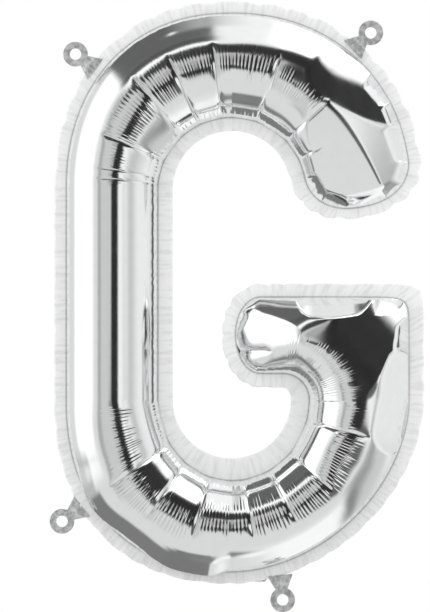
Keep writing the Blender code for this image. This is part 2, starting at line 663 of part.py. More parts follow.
def mouth_lip(material):
    """The back film's lip over the filling mouth: a flat strip with cut corners behind the margin."""
    lip, cut = MOUTH_LIP, MOUTH_LIP_CORNER
    outline = np.array([
        (lip["x_low"] + cut, lip["z_low"]), (lip["x_high"] - cut, lip["z_low"]),
        (lip["x_high"], lip["z_low"] + cut), (lip["x_high"], lip["z_high"]),
        (lip["x_low"], lip["z_high"]), (lip["x_low"], lip["z_low"] + cut),
    ])
    y_low = PLATE_THICK / 2.0 + LAYER_GAP
    return plate("filling_mouth_lip", [outline], y_low, y_low + PLATE_THICK, material)


def main():
    clear_scene()
    mirror_foil = foil_material("mirror_foil", MIRROR_FOIL)
    welded_foil = foil_material("welded_foil", WELDED_FOIL)
    film("front_film", -1.0, mirror_foil)
    film("back_film", 1.0, mirror_foil)
    seam_margin(welded_foil)
    for tab in TABS:
        hanging_tab(tab, welded_foil)
    mouth_lip(welded_foil)


main()
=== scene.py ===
"""The looks of a blown-up letter balloon of mirror foil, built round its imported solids.

The letter stands in the XZ plane and faces -Y. It is one inflated tube with a flat welded margin.
Every skin is a grid worked out with numpy: columns are cuts across the tube, from the free end of
the upper arm over the stem and the bowl to the left end of the crossbar, and rows run round each
cut from the outer seam over the crest to the inner seam. Lengths in the tables are millimetres,
angles degrees.
"""

import math

import bmesh
import bpy
import numpy as np
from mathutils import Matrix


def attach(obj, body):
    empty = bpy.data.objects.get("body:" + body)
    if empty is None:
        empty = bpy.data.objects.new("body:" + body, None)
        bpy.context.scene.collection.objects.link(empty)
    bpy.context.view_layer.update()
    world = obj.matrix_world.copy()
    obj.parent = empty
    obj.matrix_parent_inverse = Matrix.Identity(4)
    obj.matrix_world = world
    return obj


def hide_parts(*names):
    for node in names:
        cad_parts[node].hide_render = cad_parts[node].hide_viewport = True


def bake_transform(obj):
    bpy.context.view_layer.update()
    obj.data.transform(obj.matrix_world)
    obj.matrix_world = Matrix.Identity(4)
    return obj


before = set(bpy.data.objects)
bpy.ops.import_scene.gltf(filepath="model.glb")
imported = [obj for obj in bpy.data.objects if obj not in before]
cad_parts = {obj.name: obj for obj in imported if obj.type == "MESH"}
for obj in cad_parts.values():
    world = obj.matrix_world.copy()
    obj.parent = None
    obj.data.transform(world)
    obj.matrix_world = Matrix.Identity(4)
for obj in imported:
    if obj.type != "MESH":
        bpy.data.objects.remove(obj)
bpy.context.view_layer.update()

bl_info = {
    "name": "Letter Foil Balloon",
    "version": (1, 0, 0),
    "blender": (4, 5, 0),
    "location": "3D View > Sidebar > Balloon",
    "description": "Builds the foil skins, welded margin, hanging tabs and studio of a letter balloon",
    "category": "Add Mesh",
}

MM = 0.001
# Points nearer to each other than this are merged
MERGE_DISTANCE = 0.01

# The letter's curves, as the solids have them
LETTER_CENTRE_X = 5.5
UPPER_CENTRE_Z = -93.5
LOWER_CENTRE_Z = -227.5
UPPER_ARM_END_ANGLE = 12.0
CORNER_CENTRE_X = 38.2
CROSSBAR_CAP_X = 24.8
STEM = {"inner_edge": 37.8, "inner_seam": 47.4, "outer_seam": 105.3, "outer_edge": 113.3}
BOWL_RIGHT = {"inner_seam": 49.7, "outer_seam": 112.8, "outer_edge": 122.5}
CORNER_SHIFT = LETTER_CENTRE_X - CORNER_CENTRE_X

# Columns: centre x, centre z, first and last angle, half depth of the tube at both ends, then
# (half width, half height, power) of the inner edge, the inner seam, the outer seam and the outer edge.
BENDS = {
    "upper_right": (LETTER_CENTRE_X, UPPER_CENTRE_Z, UPPER_ARM_END_ANGLE, 90.0, 26.5, 28.0,
                    (STEM["inner_edge"], 37.8, 2.0), (47.4, 46.5, 2.0),
                    (113.5, 112.5, 2.13), (122.0, 120.6, 2.13)),
    "upper_left": (LETTER_CENTRE_X, UPPER_CENTRE_Z, 90.0, 180.0, 28.0, 28.8,
                   (STEM["inner_edge"], 37.8, 2.0), (STEM["inner_seam"], 46.5, 2.0),
                   (STEM["outer_seam"], 112.5, 2.2), (STEM["outer_edge"], 120.6, 2.2)),
    "lower_left": (LETTER_CENTRE_X, LOWER_CENTRE_Z, 180.0, 270.0, 28.8, 28.0,
                   (STEM["inner_edge"], 37.3, 2.0), (STEM["inner_seam"], 51.7, 2.0),
                   (STEM["outer_seam"], 109.3, 2.25), (STEM["outer_edge"], 117.3, 2.25)),
    "lower_right": (LETTER_CENTRE_X, LOWER_CENTRE_Z, 270.0, 360.0, 28.0, 28.5,
                    (STEM["inner_edge"], 37.3, 2.0), (BOWL_RIGHT["inner_seam"], 51.7, 2.0),
                    (BOWL_RIGHT["outer_seam"], 109.3, 1.85), (BOWL_RIGHT["outer_edge"], 117.3, 1.85)),
    "corner": (CORNER_CENTRE_X, LOWER_CENTRE_Z, 0.0, 90.0, 28.5, 29.0,
               (CORNER_SHIFT + STEM["inner_edge"], 8.0, 2.0),
               (CORNER_SHIFT + BOWL_RIGHT["inner_seam"], 17.2, 2.0),
               (CORNER_SHIFT + BOWL_RIGHT["outer_seam"], 65.5, 16.0),
               (CORNER_SHIFT + BOWL_RIGHT["outer_edge"], 74.2, 16.0)),
}
# Numbers of the columns of BENDS
FIRST_DEPTH, LAST_DEPTH, INNER_EDGE, INNER_SEAM, OUTER_SEAM, OUTER_EDGE = 4, 5, 6, 7, 8, 9
CORNER_EXTRA_DEPTH = 0.5
CAPS = {
    "upper_arm": {"seam_reach": 27.5, "edge_reach": 34.5, "power": 2.3},
    "crossbar": {"seam_reach": 16.6, "edge_reach": 25.6, "power": 2.1},
}
SEAM_LIFT = 0.6
# How far the slack inner half is drawn straight between creases, between which turns of the cut that
# sets in, and how much lower its power is
SLACK_SHARE = 0.62
SLACK_TURNS = (58.0, 88.0)
INNER_SHARPER = 0.12
# Power of a cut's superellipse at the upper arm's end, how much it falls and between which angles,
# and its power elsewhere
END_POWER = 2.9
END_POWER_FALL = 0.9
END_POWER_ANGLES = (28.0, 60.0)
TUBE_POWER = 2.0
# How far the crest lies inside the middle at the bowl's lower right: at its most, and where the corner
# starts. The bowl's angles where that sets in, is whole and meets the corner, and the corner's angle
# where it ends
CREST_LEAN = {"most": 5.0, "at_corner": 2.5, "starts": 316.0, "whole": 334.0, "corner": 360.0, "ends": 24.0}

# The tube in order. Columns: span, first and last value of its own measure, columns of the grid
PATH = (
    ("upper_arm_cap", 0.0, 90.0, 64),
    ("upper_right", UPPER_ARM_END_ANGLE, 90.0, 262),
    ("upper_left", 90.0, 180.0, 280),
    ("stem", UPPER_CENTRE_Z, LOWER_CENTRE_Z, 100),
    ("lower_left", 180.0, 270.0, 262),
    ("lower_right", 270.0, 360.0, 262),
    ("corner", 0.0, 90.0, 150),
    ("bar", CORNER_CENTRE_X, CROSSBAR_CAP_X, 20),
    ("crossbar_cap", 90.0, 0.0, 50),
)

# The upper arm's end: depth falls as an ellipse over this length from this angle of the bend, whose
# middle line has this radius
END_SLOPE = {"from_angle": 44.0, "length": 73.0, "radius": 80.0, "tip_sharpness": 0.45}
# The crossbar falls to the left from this x, to this share of its depth at its tip
BAR_SLOPE = {"from_x": 49.6, "to_x": 8.2, "tip_share": 0.12, "softness": 0.08, "tip_sharpness": 0.5}
# The square corner and the crossbar: how far the tube takes to rise from its right seam, at the
# bowl and in the corner, from its top seam at the tip, in the middle and in the corner, and from its
# inner seam at the bowl, in the corner and in the crossbar
CORNER_RISE = {"right": (34.05, 15.0), "top": (15.0, 21.0, 13.0), "inner": (29.05, 28.7, 23.0)}
# The stretches over which one of them gives way to the next, by x for the top seam and otherwise by
# the corner's turn, and the power by which the shares still to go to the right and the top seam join:
# at the crest, and how much higher it is at either seam
CORNER_CHANGES = {
    "right": ((0.0, 24.0),),
    "top": ((20.0, 52.0), (52.0, 84.0)),
    "inner": ((0.0, 16.0), (66.0, 90.0)),
}
CORNER_JOIN = {"power": 2.5, "gain": 3.3}

# Creases across the bends. Columns: span, angle, where its tip lies round the cut, depth, width
CREASES = (
    ("upper_right", 25.0, 124.0, 0.6, 1.4),
    ("upper_right", 42.5, 91.0, 0.6, 1.5),
    ("upper_right", 70.0, 75.0, 0.7, 1.5),
    ("upper_left", 97.6, 71.0, 0.75, 1.5),
    ("upper_left", 116.0, 70.0, 0.6, 1.4),
    ("upper_left", 132.0, 67.0, 0.7, 1.5),
    ("upper_left", 157.0, 72.0, 0.7, 1.5),
    ("upper_left", 171.0, 72.0, 0.22, 0.7),
    ("upper_left", 175.5, 74.0, 0.22, 0.7),
    ("lower_left", 215.0, 68.0, 0.7, 1.5),
    ("lower_left", 233.5, 74.0, 0.7, 1.5),
    ("lower_left", 253.7, 77.0, 0.7, 1.5),
    ("lower_right", 279.0, 79.0, 0.65, 1.5),
    ("lower_right", 298.0, 81.0, 0.65, 1.5),
    ("lower_right", 318.0, 82.0, 0.65, 1.5),
    ("lower_right", 345.0, 71.0, 0.8, 1.6),
)

# Bands of fine pleats. Columns: span, from, to, where the band starts and ends round the cut, depth
COMBS = (
    ("upper_right", 42.5, 70.0, 86.0, 104.0, 0.10),
    ("upper_right", 70.0, 90.0, 74.0, 98.0, 0.10),
    ("upper_left", 90.0, 97.6, 74.0, 98.0, 0.10),
    ("upper_left", 97.6, 116.0, 68.0, 92.0, 0.08),
    ("upper_left", 116.0, 132.0, 68.0, 116.0, 0.07),
    ("upper_left", 132.0, 157.0, 68.0, 106.0, 0.06),
    ("upper_left", 157.0, 180.0, 72.0, 100.0, 0.06),
    ("lower_left", 182.0, 215.0, 76.0, 120.0, 0.07),
    ("lower_left", 215.0, 233.5, 68.0, 101.0, 0.10),
    ("lower_left", 233.5, 253.7, 70.0, 101.0, 0.10),
    ("lower_left", 253.7, 270.0, 82.0, 118.0, 0.11),
    ("lower_right", 270.0, 279.0, 82.0, 118.0, 0.11),
    ("lower_right", 279.0, 298.0, 74.0, 125.0, 0.10),
    ("lower_right", 298.0, 318.0, 75.0, 114.0, 0.10),
    ("lower_right", 318.0, 345.0, 72.0, 102.0, 0.11),
    ("lower_right", 345.0, 360.0, 84.0, 165.0, 0.08),
    ("corner", 0.0, 14.0, 88.0, 160.0, 0.08),
    ("corner", 14.0, 30.0, 96.0, 158.0, 0.09),
    ("corner", 30.0, 48.0, 103.0, 158.0, 0.09),
    ("corner", 48.0, 66.0, 102.0, 156.0, 0.09),
    ("corner", 66.0, 90.0, 95.0, 150.0, 0.08),
)

# Taut facets beside the seam, each a plane that rises inwards from it. Columns: part, span, angle
# or measure, side of the seam, turn of its way of falling, rise per length, half length along the seam
LENSES = (
    ("end", "upper_right", 34.0, "outer", 3.0, 1.95, 13.0),
    ("end", "upper_right", 25.0, "outer", 0.0, 2.3, 9.0),
    ("end", "upper_right", 15.0, "outer", -2.0, 1.35, 17.0),
    ("end", "upper_arm_cap", 62.0, "outer", 0.0, 1.5, 11.0),
    ("end", "upper_arm_cap", 36.0, "outer", 0.0, 1.6, 11.0),
    ("end", "upper_arm_cap", 8.0, "outer", 3.0, 1.9, 13.0),
    ("end", "upper_arm_cap", 32.0, "inner", 0.0, 1.7, 12.0),
    ("end", "upper_arm_cap", 66.0, "inner", 0.0, 1.9, 12.0),
    ("bar", "corner", 64.5, "outer", 1.0, 2.1, 26.0),
    ("bar", "corner", 43.6, "outer", -8.0, 1.6, 11.0),
    ("bar", "corner", 27.0, "outer", 2.0, 2.2, 13.0),
    ("bar", "corner", 0.5, "outer", -11.0, 1.33, 44.0),
    ("bar", "crossbar_cap", 62.0, "outer", 0.0, 2.1, 12.0),
    ("bar", "crossbar_cap", 20.0, "outer", 0.0, 1.4, 10.0),
    ("bar", "crossbar_cap", 20.0, "inner", 0.0, 1.4, 10.0),
)
LENS_SOFTNESS = 1.2
# A facet curls up from this share of its half length, by this much at its end
LENS_FLAT_SHARE = 0.5
LENS_CURL = 16.0
LENS_BACK_CURL = 1.0
# A facet leaves at least this share of the film's own height
LEAST_HEIGHT_SHARE = 0.1
# Large flat faces of the upper arm's end and the square corner. Columns: part, x, z and height of
# a point on it, the way it falls, fall per length there, gain of that per length, bow across the way
# it falls, softness
FACES = (
    ("end", 65.6, -38.7, 28.8, 30.0, 0.495, 0.0, 0.0, 4.0),
    ("end", 86.6, -24.6, 16.1, 42.4, 0.688, 0.004, 0.0, 1.5),
    ("end", 65.6, -38.7, 27.4, -12.0, 0.18, 0.005, 0.0014, 0.8),
    ("end", 65.6, -38.7, 27.4, -78.6, 0.19, 0.002, 0.0, 0.5),
    ("bar", 76.5, -203.0, 29.0, 42.0, 0.05, 0.0137, 0.0, 1.5),
    ("bar", 60.0, -187.0, 30.3, 118.0, 0.20, 0.022, 0.0, 3.0),
)
# How far the large faces' planes are lifted clear of the rest of the tube, and the angles between
# which that sets in beyond the upper arm's end, and ends towards the corner
FACE_ENDS = {"upper_right": (5.0, 50.0, 76.0), "lower_right": (12.0, 325.0, 360.0)}
# Sharp folds of the film. Columns: x and z of both ends, depth, width
DENTS = (
    (10.0, -196.2, 28.0, -196.2, 1.7, 3.0),
    (103.0, -143.0, 116.0, -144.5, 0.7, 1.6),
)
# A fold fades over its ends: how far past them, and how far inside its start and its end
DENT_FADE = {"past": 5.0, "start": 2.0, "end": 4.0}
# Where the blown-up film swells out over the margin. Columns: span, where it starts and is whole,
# where it starts to fall and ends, how far
BULGES = (
    ("lower_left", 203.0, 216.0, 218.0, 232.0, 3.0),
    ("lower_left", 234.0, 252.0, 262.0, 270.0, 4.4),
)
# Turn of the cut over which the swelling rises from the seam
BULGE_TURN = 15.0
# Half the turn over which a crease starts at its tip, and the turns over which it ends at the seam
CREASE_TIP = 7.0
CREASE_END = (160.0, 180.0)
# How uneven the pleats are: share of the pitch and number of its changes along the tube, spread of
# their starts and ends in degrees, and least and greatest strength. Then how they fade: over columns
# of the grid beside a crease, and over degrees at their start and their end. Last, the mean that is
# taken off their wave, and the share of its overtone
PLEATS = {"uneven": 0.35, "changes": 160, "start_spread": 3.5, "end_spread": 6.0, "strength": (0.35, 1.25),
          "side_columns": 6.0, "start_fade": 5.0, "end_fade": 12.0, "mean": 1.27, "overtone": 0.2}
# Small crinkles beside the seams. Columns: pitch, depth
CRINKLES = ((7.3, 0.10), (4.1, 0.07), (2.6, 0.04), (1.7, 0.02))
# How far their phase drifts to either side along the tube, in how many changes, and how fast across
# the cut
CRINKLE_DRIFT = {"phase": 3.0, "changes": 90, "per_degree": 0.05}
# Their least and greatest strength and its changes, the outer ones' share, and the share that is left
# at the taut end of the upper arm, below an angle
CRINKLE_STRENGTH = {"range": (0.2, 1.2), "changes": 220, "outer": 0.5, "taut": 0.15, "taut_below": 44.0}
# The turns between which they rise and fall at the inner seam, and fall and rise at the outer one
CRINKLE_TURNS = {"inner": ((146.0, 158.0), (174.0, 180.0)), "outer": ((12.0, 24.0), (0.0, 5.0))}
# What is added to the seed for each kind of random draw
SEEDS = {"crinkles": 50, "scallops": 11, "tabs": 20}
# Rows of the grid: their number before, on and behind the crest, the turns between which the crest's
# rows lie, and the power by which the others draw together towards the seams. Lengths are measured
# along the row of the last turn
ROWS = {"outer": 16, "crest": 33, "inner": 20}
CREST_TURNS = (55.0, 125.0)
ROW_POWERS = {"outer": 1.3, "inner": 1.2}
RUN_TURN = 92.0

# Tabs. Columns: node, body, x and z of the hole's centre, way to the root, distance to the fold
TABS = (
    ("tab_top_left", "top_left_tab", -94.2, -6.8, -37.0, 9.6),
    ("tab_top_right", "top_right_tab", 94.2, 6.8, -137.0, 8.6),
    ("tab_bottom_left", "bottom_left_tab", -102.8, -304.9, 37.0, 10.2),
    ("tab_bottom_middle", "bottom_middle_tab", 38.0, -355.0, 96.0, 10.2),
)
TAB_RADIUS = 7.9
TAB_HOLE = 3.65
TAB_NECK_HALF = 4.0
TAB_ROOT = 16.0
TAB_ROOT_HALF = 8.0
# The neck takes this turn of the polar grid to either side, in radians. The root lies this far in
# front, and the sheet rises to it between these distances beyond the ring
TAB_NECK_TURN = 0.75
TAB_ROOT_LIFT = 0.75
TAB_ROOT_RISE = (1.0, 3.5)
# Columns of the grid round the ring's halves and round the neck, its rings, the samples along a ray
# by which its outline is found, and the widest turn at which a ray still meets the root, in degrees
TAB_STEPS = {"ring": 46, "neck": 60, "rings": 15, "samples": 400}
TAB_WIDEST_TURN = 40.0
# Waves out of the tab's plane. Columns: height, turn per millimetre, share of the run along the neck
# and share of the run across it
TAB_WAVES = ((0.22, 0.30, 1.0, 0.0), (0.20, 0.34, 0.0, 1.0), (0.05, 0.9, 1.0, 1.0))
TAB_WAVE_START = 3.0
# Pleats along the neck: height, pitch, and where they start and are whole, from the ring's radius
TAB_PLEAT = {"height": 0.12, "pitch": 3.1, "starts": -1.0, "whole": 2.5}

# Zones of the studio as the foil sees them; where they overlap the later one wins. A direction is
# given by its angle off the axis that points at the camera and by its turn round that axis, 0 to
# the right and 90 up. Columns: name, turn, half width of the turn, nearest and furthest angle off
# the axis, softness in degrees, brightness
ZONES = (
    ("left_softbox", 166.5, 32.5, 49.0, 108.0, 8.0, 1.25),
    ("left_foot", 203.0, 6.0, 86.0, 172.0, 4.0, 0.52),
    ("right_softbox", 0.0, 44.0, 68.0, 112.0, 10.0, 0.88),
    ("right_card", 0.0, 30.0, 20.0, 44.0, 5.0, 0.95),
    ("right_gap", 0.0, 36.0, 49.0, 60.0, 5.0, 0.58),
    ("low_right_softbox", 312.0, 30.0, 60.0, 124.0, 12.0, 0.88),
    ("low_right_sheet", 300.0, 14.0, 70.0, 140.0, 6.0, 1.02),
    ("overhead_softbox", 58.5, 20.0, 46.0, 132.0, 4.0, 1.5),
    ("overhead_left", 87.5, 10.0, 42.0, 150.0, 4.0, 0.96),
    ("upper_left_gap", 116.2, 21.5, 48.5, 150.0, 1.6, 0.13),
    ("upper_gap_rim", 116.2, 21.5, 48.5, 60.0, 3.0, 0.09),
    ("upper_gap_top", 98.0, 6.0, 88.0, 150.0, 9.0, 0.46),
    ("upper_arc", 116.2, 21.5, 39.0, 46.5, 1.8, 1.15),
    ("low_left_gap", 237.0, 28.0, 76.0, 172.0, 4.0, 0.21),
    ("low_band_start", 254.0, 11.0, 67.0, 172.0, 3.0, 0.20),
    ("low_middle_gap", 258.0, 9.5, 61.0, 172.0, 3.0, 0.20),
    ("right_low_gap", 1.0, 8.0, 121.0, 142.0, 3.0, 0.10),
    ("high_right_gap", 25.0, 4.5, 124.0, 150.0, 2.0, 0.12),
)
# Soft spots near the axis: the camera, what stands round it, and the room behind the balloon.
# Columns: name, side of the balloon, degrees to the right, degrees up, half length, half width,
# turn of the length, softness, brightness
SPOTS = (
    ("left_near", "front", -19.0, 0.0, 30.0, 15.0, 90.0, 0.25, 0.62),
    ("left_dip", "front", -31.0, 0.0, 26.0, 4.0, 90.0, 0.50, 0.42),
    ("ceiling_near", "front", 0.0, 13.0, 10.0, 8.0, 0.0, 0.40, 0.42),
    ("camera_foot", "front", 20.0, -16.0, 15.0, 9.0, -38.0, 0.35, 0.12),
    ("camera_low", "front", 0.0, -6.0, 9.0, 4.5, 0.0, 0.35, 0.05),
    ("camera", "front", 10.3, -2.0, 13.0, 10.2, 90.0, 0.25, 0.025),
    ("camera_arm", "front", 24.0, 23.0, 32.0, 10.0, 44.0, 0.20, 0.022),
    ("arm_low", "front", 38.0, 24.0, 22.0, 9.0, 34.0, 0.20, 0.03),
    ("arm_high", "front", 10.0, 31.5, 22.0, 9.0, 8.0, 0.25, 0.025),
    ("ceiling_gap", "front", -3.0, 31.5, 17.0, 8.5, 0.0, 0.25, 0.03),
    ("ceiling_left", "front", -14.5, 27.0, 13.0, 5.5, 25.0, 0.30, 0.05),
    ("gap_lamp", "front", -31.0, 88.0, 2.6, 5.0, 20.0, 0.60, 0.9),
    ("low_band_end", "front", -2.0, -73.0, 12.0, 8.5, 3.0, 0.60, 0.24),
    ("low_streak", "front", 14.0, -80.0, 9.0, 6.0, 8.0, 0.60, 0.98),
    ("low_right_haze", "front", 80.0, -54.0, 52.0, 15.0, -62.0, 0.80, 0.62),
    ("low_right_shade", "front", 68.0, -60.0, 52.0, 7.0, -62.0, 0.80, 0.27),
    ("room_near", "back", 7.0, 0.0, 15.0, 9.0, 90.0, 0.30, 0.03),
    ("room_arm", "back", -12.0, 12.0, 20.0, 9.0, 135.0, 0.30, 0.04),
    ("room_high", "back", 0.0, 26.0, 16.0, 7.0, 0.0, 0.30, 0.05),
)

# Waves of the welded margin's edge. Columns: span, side, pitch and depth
SCALLOPS = (
    ("upper_arm_cap", "outer", 17.0, 2.4),
    ("upper_right", "outer", 21.0, 2.1),
    ("upper_left", "outer", 23.0, 1.7),
    ("stem", "outer", 26.0, 0.4),
    ("lower_left", "outer", 18.0, 0.9),
    ("lower_right", "outer", 17.0, 0.8),
    ("corner", "outer", 20.0, 0.9),
    ("bar", "outer", 13.0, 1.3),
    ("crossbar_cap", "outer", 12.5, 1.6),
    ("crossbar_cap", "inner", 12.0, 1.3),
    ("upper_arm_cap", "inner", 16.0, 2.0),
)
# The pitch of an edge that has none of its own, the columns over which depths even out, the power
# of the waves' shape, and how far and how often their phase wanders and where that may start
SCALLOP_PITCH = 20.0
SCALLOP_EVENED = 31
SCALLOP_POWER = 0.7
SCALLOP_WANDER = (0.22, 1.7, 6.0)
# Ripples out of the margin's plane. Columns: pitch, share, phase
RIPPLES = ((24.0, 1.0, 0.0), (10.3, 0.6, 1.3), (5.1, 0.35, 0.4))
MARGIN_OVERLAP = 2.0
# Rows across the margin after the first, and the share of its width at which they start
MARGIN_ROWS = 9
MARGIN_FIRST_SHARE = 0.2
WELD_THICK = 0.25
# The weld's grain: how it is drawn out across the margin, its scale, detail and height, and how far
# it moves the roughness. Then the mask's range of the painted shade on the gathers, and the distances
# from the seam between which the painted shade along the seam fades in, each with its share of the colour
WELD_GRAIN = {"across": 0.16, "scale": 420.0, "detail": 3.0, "height": 0.16, "spread": 0.3}
GATHER_SHADE = {"low": 0.42, "high": 0.68, "dark": 0.88}
SEAM_SHADE = {"low": 1.3, "high": 0.3, "dark": 0.62}
# The grain's values between which the painted shade in its hollows sets in
GRAIN_HOLLOW_SHADE = (0.60, 0.38)

# Stage. Only FAR_END, how far the camera sees, is in metres
FLOOR_Z = -402.0
FLOOR_RADII = (0.0, 200.0, 450.0)
FLOOR_SIDES = 96
CAMERA_DISTANCE = 2500.0
SENSOR_HEIGHT = 24.0
FRAME_HEIGHT = 390.5
FRAME_CENTRE = (-5.2, -167.5)
FAR_END = 50.0
WHITE = (1.0, 1.0, 1.0, 1.0)


def number_of(name, description, default, high, low=0.0, **more):
    """A property that holds one number."""
    return bpy.props.FloatProperty(
        name=name, description=description, default=default, min=low, max=high, **more)


def colour_of(name, description, default):
    """A property that holds a colour."""
    return bpy.props.FloatVectorProperty(
        name=name, description=description, subtype="COLOR", size=3, default=default, min=0.0, max=1.0)


class BalloonSizes(bpy.types.PropertyGroup):
    """Sizes of the skins' fine forms that a user may change."""

    pleat_pitch: number_of(
        "Pleat pitch", "Distance from pleat to pleat along the crest, in millimetres", 2.15, 8.0, low=1.0)
    pleat_depth: number_of("Pleat depth", "Share of each band's own pleat depth that is used", 1.0, 3.0)
    crease_depth: number_of("Crease depth", "Share of each crease's own depth that is used", 1.0, 3.0)
    margin_ripple: number_of(
        "Margin ripple", "How far the welded margin waves out of its plane, in millimetres", 0.7, 3.0)
    seed: bpy.props.IntProperty(
        name="Seed", description="Starting number of the pleats' uneven lengths", default=7, min=0)


class BalloonColours(bpy.types.PropertyGroup):
    """Colours and finish of the foil, floor and studio."""

    foil: colour_of("Foil", "Colour of the mirror foil", (0.93, 0.935, 0.94))
    weld: colour_of("Weld", "Colour of the welded margin", (0.97, 0.973, 0.975))
    tab: colour_of("Tab", "Colour of the hanging tabs", (0.72, 0.725, 0.73))
    foil_roughness: number_of("Foil roughness", "Roughness of the mirror foil", 0.11, 1.0, subtype="FACTOR")
    weld_roughness: number_of("Weld roughness", "Roughness of the welded margin", 0.42, 1.0, subtype="FACTOR")
    tab_roughness: number_of("Tab roughness", "Roughness of the hanging tabs", 0.36, 1.0, subtype="FACTOR")
    floor: colour_of("Floor", "Colour of the floor", (0.72, 0.72, 0.72))
    studio: number_of("Studio", "Brightness of the plain studio wall between the lights", 0.745, 2.0)
    fill: number_of("Fill light", "Brightness of the soft light that falls on dull surfaces", 1.14, 3.0)


def smooth(low, high, value):
    """0 below low, 1 above high, and an even S between them."""
    t = np.clip((np.asarray(value, float) - low) / (high - low), 0.0, 1.0)
    return t * t * (3.0 - 2.0 * t)


def polar_point(span, angle, line, inset=0.0):
    """Points of one of a bend's four lines: centre plus ray times r, where r solves
    |r cos / (a - inset)|^n + |r sin / (b - inset)|^n = 1. line is the number of its column."""
    bend = BENDS[span]
    half_width, half_height, power = bend[line]
    turn = np.radians(angle)
    across = np.abs(np.cos(turn)) / (half_width - inset)
    up = np.abs(np.sin(turn)) / (half_height - inset)
    reach = (across**power + up**power) ** (-1.0 / power)
    return np.stack([bend[0] + reach * np.cos(turn), bend[1] + reach * np.sin(turn)], -1)


def bend_chords(span, angle, edge=False, inset=0.0):
    """The inner and outer points of a bend at these angles, on its seams or on its edges."""
    inner, outer = (INNER_EDGE, OUTER_EDGE) if edge else (INNER_SEAM, OUTER_SEAM)
    return polar_point(span, angle, inner, -inset), polar_point(span, angle, outer, inset)


def level_chords(x, edge=False, inset=0.0):
    """The crossbar's lower and upper line, which run level from the corner."""
    low, high = bend_chords("corner", np.array([90.0]), edge, inset)
    x = np.asarray(x, float)
    return np.stack([x, np.full_like(x, low[0, 1])], -1), np.stack([x, np.full_like(x, high[0, 1])], -1)


def stem_chords(z, edge=False, inset=0.0):
    """The stem's inner and outer line, which run upright."""
    inner, outer = ("inner_edge", "outer_edge") if edge else ("inner_seam", "outer_seam")
    z = np.asarray(z, float)
    return (np.stack([np.full_like(z, LETTER_CENTRE_X - STEM[inner] - inset), z], -1),
            np.stack([np.full_like(z, LETTER_CENTRE_X - STEM[outer] + inset), z], -1))


def cap_chords(which, angle, edge=False, inset=0.0):
    """A rounded end: its cuts stay square to the way the tube ends, and shrink as sin^(2/n) while
    they move out as cos^(2/n). 0 is the tip and 90 the cut that the end closes."""
    cap = CAPS[which]
    if which == "upper_arm":
        ends = bend_chords("upper_right", np.array([UPPER_ARM_END_ANGLE]), edge, inset)
        base_in, base_out = ends[0][0], ends[1][0]
        turn = 1.0
    else:
        base_in, base_out = level_chords(CROSSBAR_CAP_X, edge, inset)
        turn = -1.0
    reach = cap["edge_reach"] if edge else cap["seam_reach"] - inset
    run = (base_out - base_in) / np.linalg.norm(base_out - base_in)
    way = np.array([run[1], -run[0]]) * turn
    middle, half = (base_in + base_out) / 2.0, (base_out - base_in) / 2.0
    a = np.radians(np.asarray(angle, float))
    share = np.abs(np.sin(a)) ** (2.0 / cap["power"])
    along = np.abs(np.cos(a)) ** (2.0 / cap["power"])
    tip = middle + way * reach * along[..., None]
    return tip - half * share[..., None], tip + half * share[..., None]


def chords(span, value, edge=False, inset=0.0):
    """Inner and outer points of the cuts at these values of a span's own measure."""
    if span.endswith("_cap"):
        return cap_chords(span[:-4], value, edge, inset)
    if span == "stem":
        return stem_chords(value, edge, inset)
    if span == "bar":
        return level_chords(value, edge, inset)
    return bend_chords(span, value, edge, inset)


def cut_power(span, value):
    """Roundness of a cut, as the power of its superellipse: 2 is an ellipse, and the upper arm's
    end is boxier."""
    value = np.asarray(value, float)
    if span == "upper_arm_cap":
        return np.full_like(value, END_POWER)
    if span == "upper_right":
        return END_POWER - END_POWER_FALL * smooth(*END_POWER_ANGLES, value)
    return np.full_like(value, TUBE_POWER)


def end_depth(span, value):
    """Half the depth of the upper arm's end: whole depth * sqrt(1 - (run / length)^2) * tip, where
    tip falls to nothing round the end's cap."""
    run_per_degree = math.radians(1.0) * END_SLOPE["radius"]
    tip = 1.0
    if span == "upper_right":
        run = (END_SLOPE["from_angle"] - value) * run_per_degree
    else:
        cap = CAPS["upper_arm"]
        run = (END_SLOPE["from_angle"] - UPPER_ARM_END_ANGLE) * run_per_degree
        run = run + cap["seam_reach"] * np.abs(np.cos(np.radians(value))) ** (2.0 / cap["power"])
        tip = np.abs(np.sin(np.radians(value))) ** END_SLOPE["tip_sharpness"]
    fall = np.sqrt(1.0 - (np.clip(run, 0.0, None) / END_SLOPE["length"]) ** 2)
    return BENDS["upper_right"][LAST_DEPTH] * fall * tip


def half_depth(span, value):
    """Half the tube's depth. It changes evenly along a bend, is more in the square corner, falls
    along the upper arm's end, and is nothing at both tips."""
    value = np.asarray(value, float)
    if span in ("upper_arm_cap", "upper_right"):
        return end_depth(span, value)
    if span in BENDS:
        bend = BENDS[span]
        first, last = bend[FIRST_DEPTH], bend[LAST_DEPTH]
        depth = first + (last - first) * smooth(bend[2], bend[3], value)
        if span == "corner":
            depth = depth + CORNER_EXTRA_DEPTH * np.sin(np.radians(2.0 * value))
        return depth
    if span == "stem":
        return np.full_like(value, BENDS["upper_left"][LAST_DEPTH])
    full = np.full_like(value, BENDS["corner"][LAST_DEPTH])
    if span == "crossbar_cap":
        return full * np.abs(np.sin(np.radians(value))) ** BAR_SLOPE["tip_sharpness"]
    return full


def crest_lean(span, value):
    """How far the crest lies inside the middle of the tube: most at the bowl's lower right."""
    most, at_corner = CREST_LEAN["most"], CREST_LEAN["at_corner"]
    if span == "lower_right":
        return (most * smooth(CREST_LEAN["starts"], CREST_LEAN["whole"], value)
                - (most - at_corner) * smooth(CREST_LEAN["whole"], CREST_LEAN["corner"], value))
    if span == "corner":
        return at_corner * (1.0 - smooth(0.0, CREST_LEAN["ends"], value))
    return np.zeros(len(value))


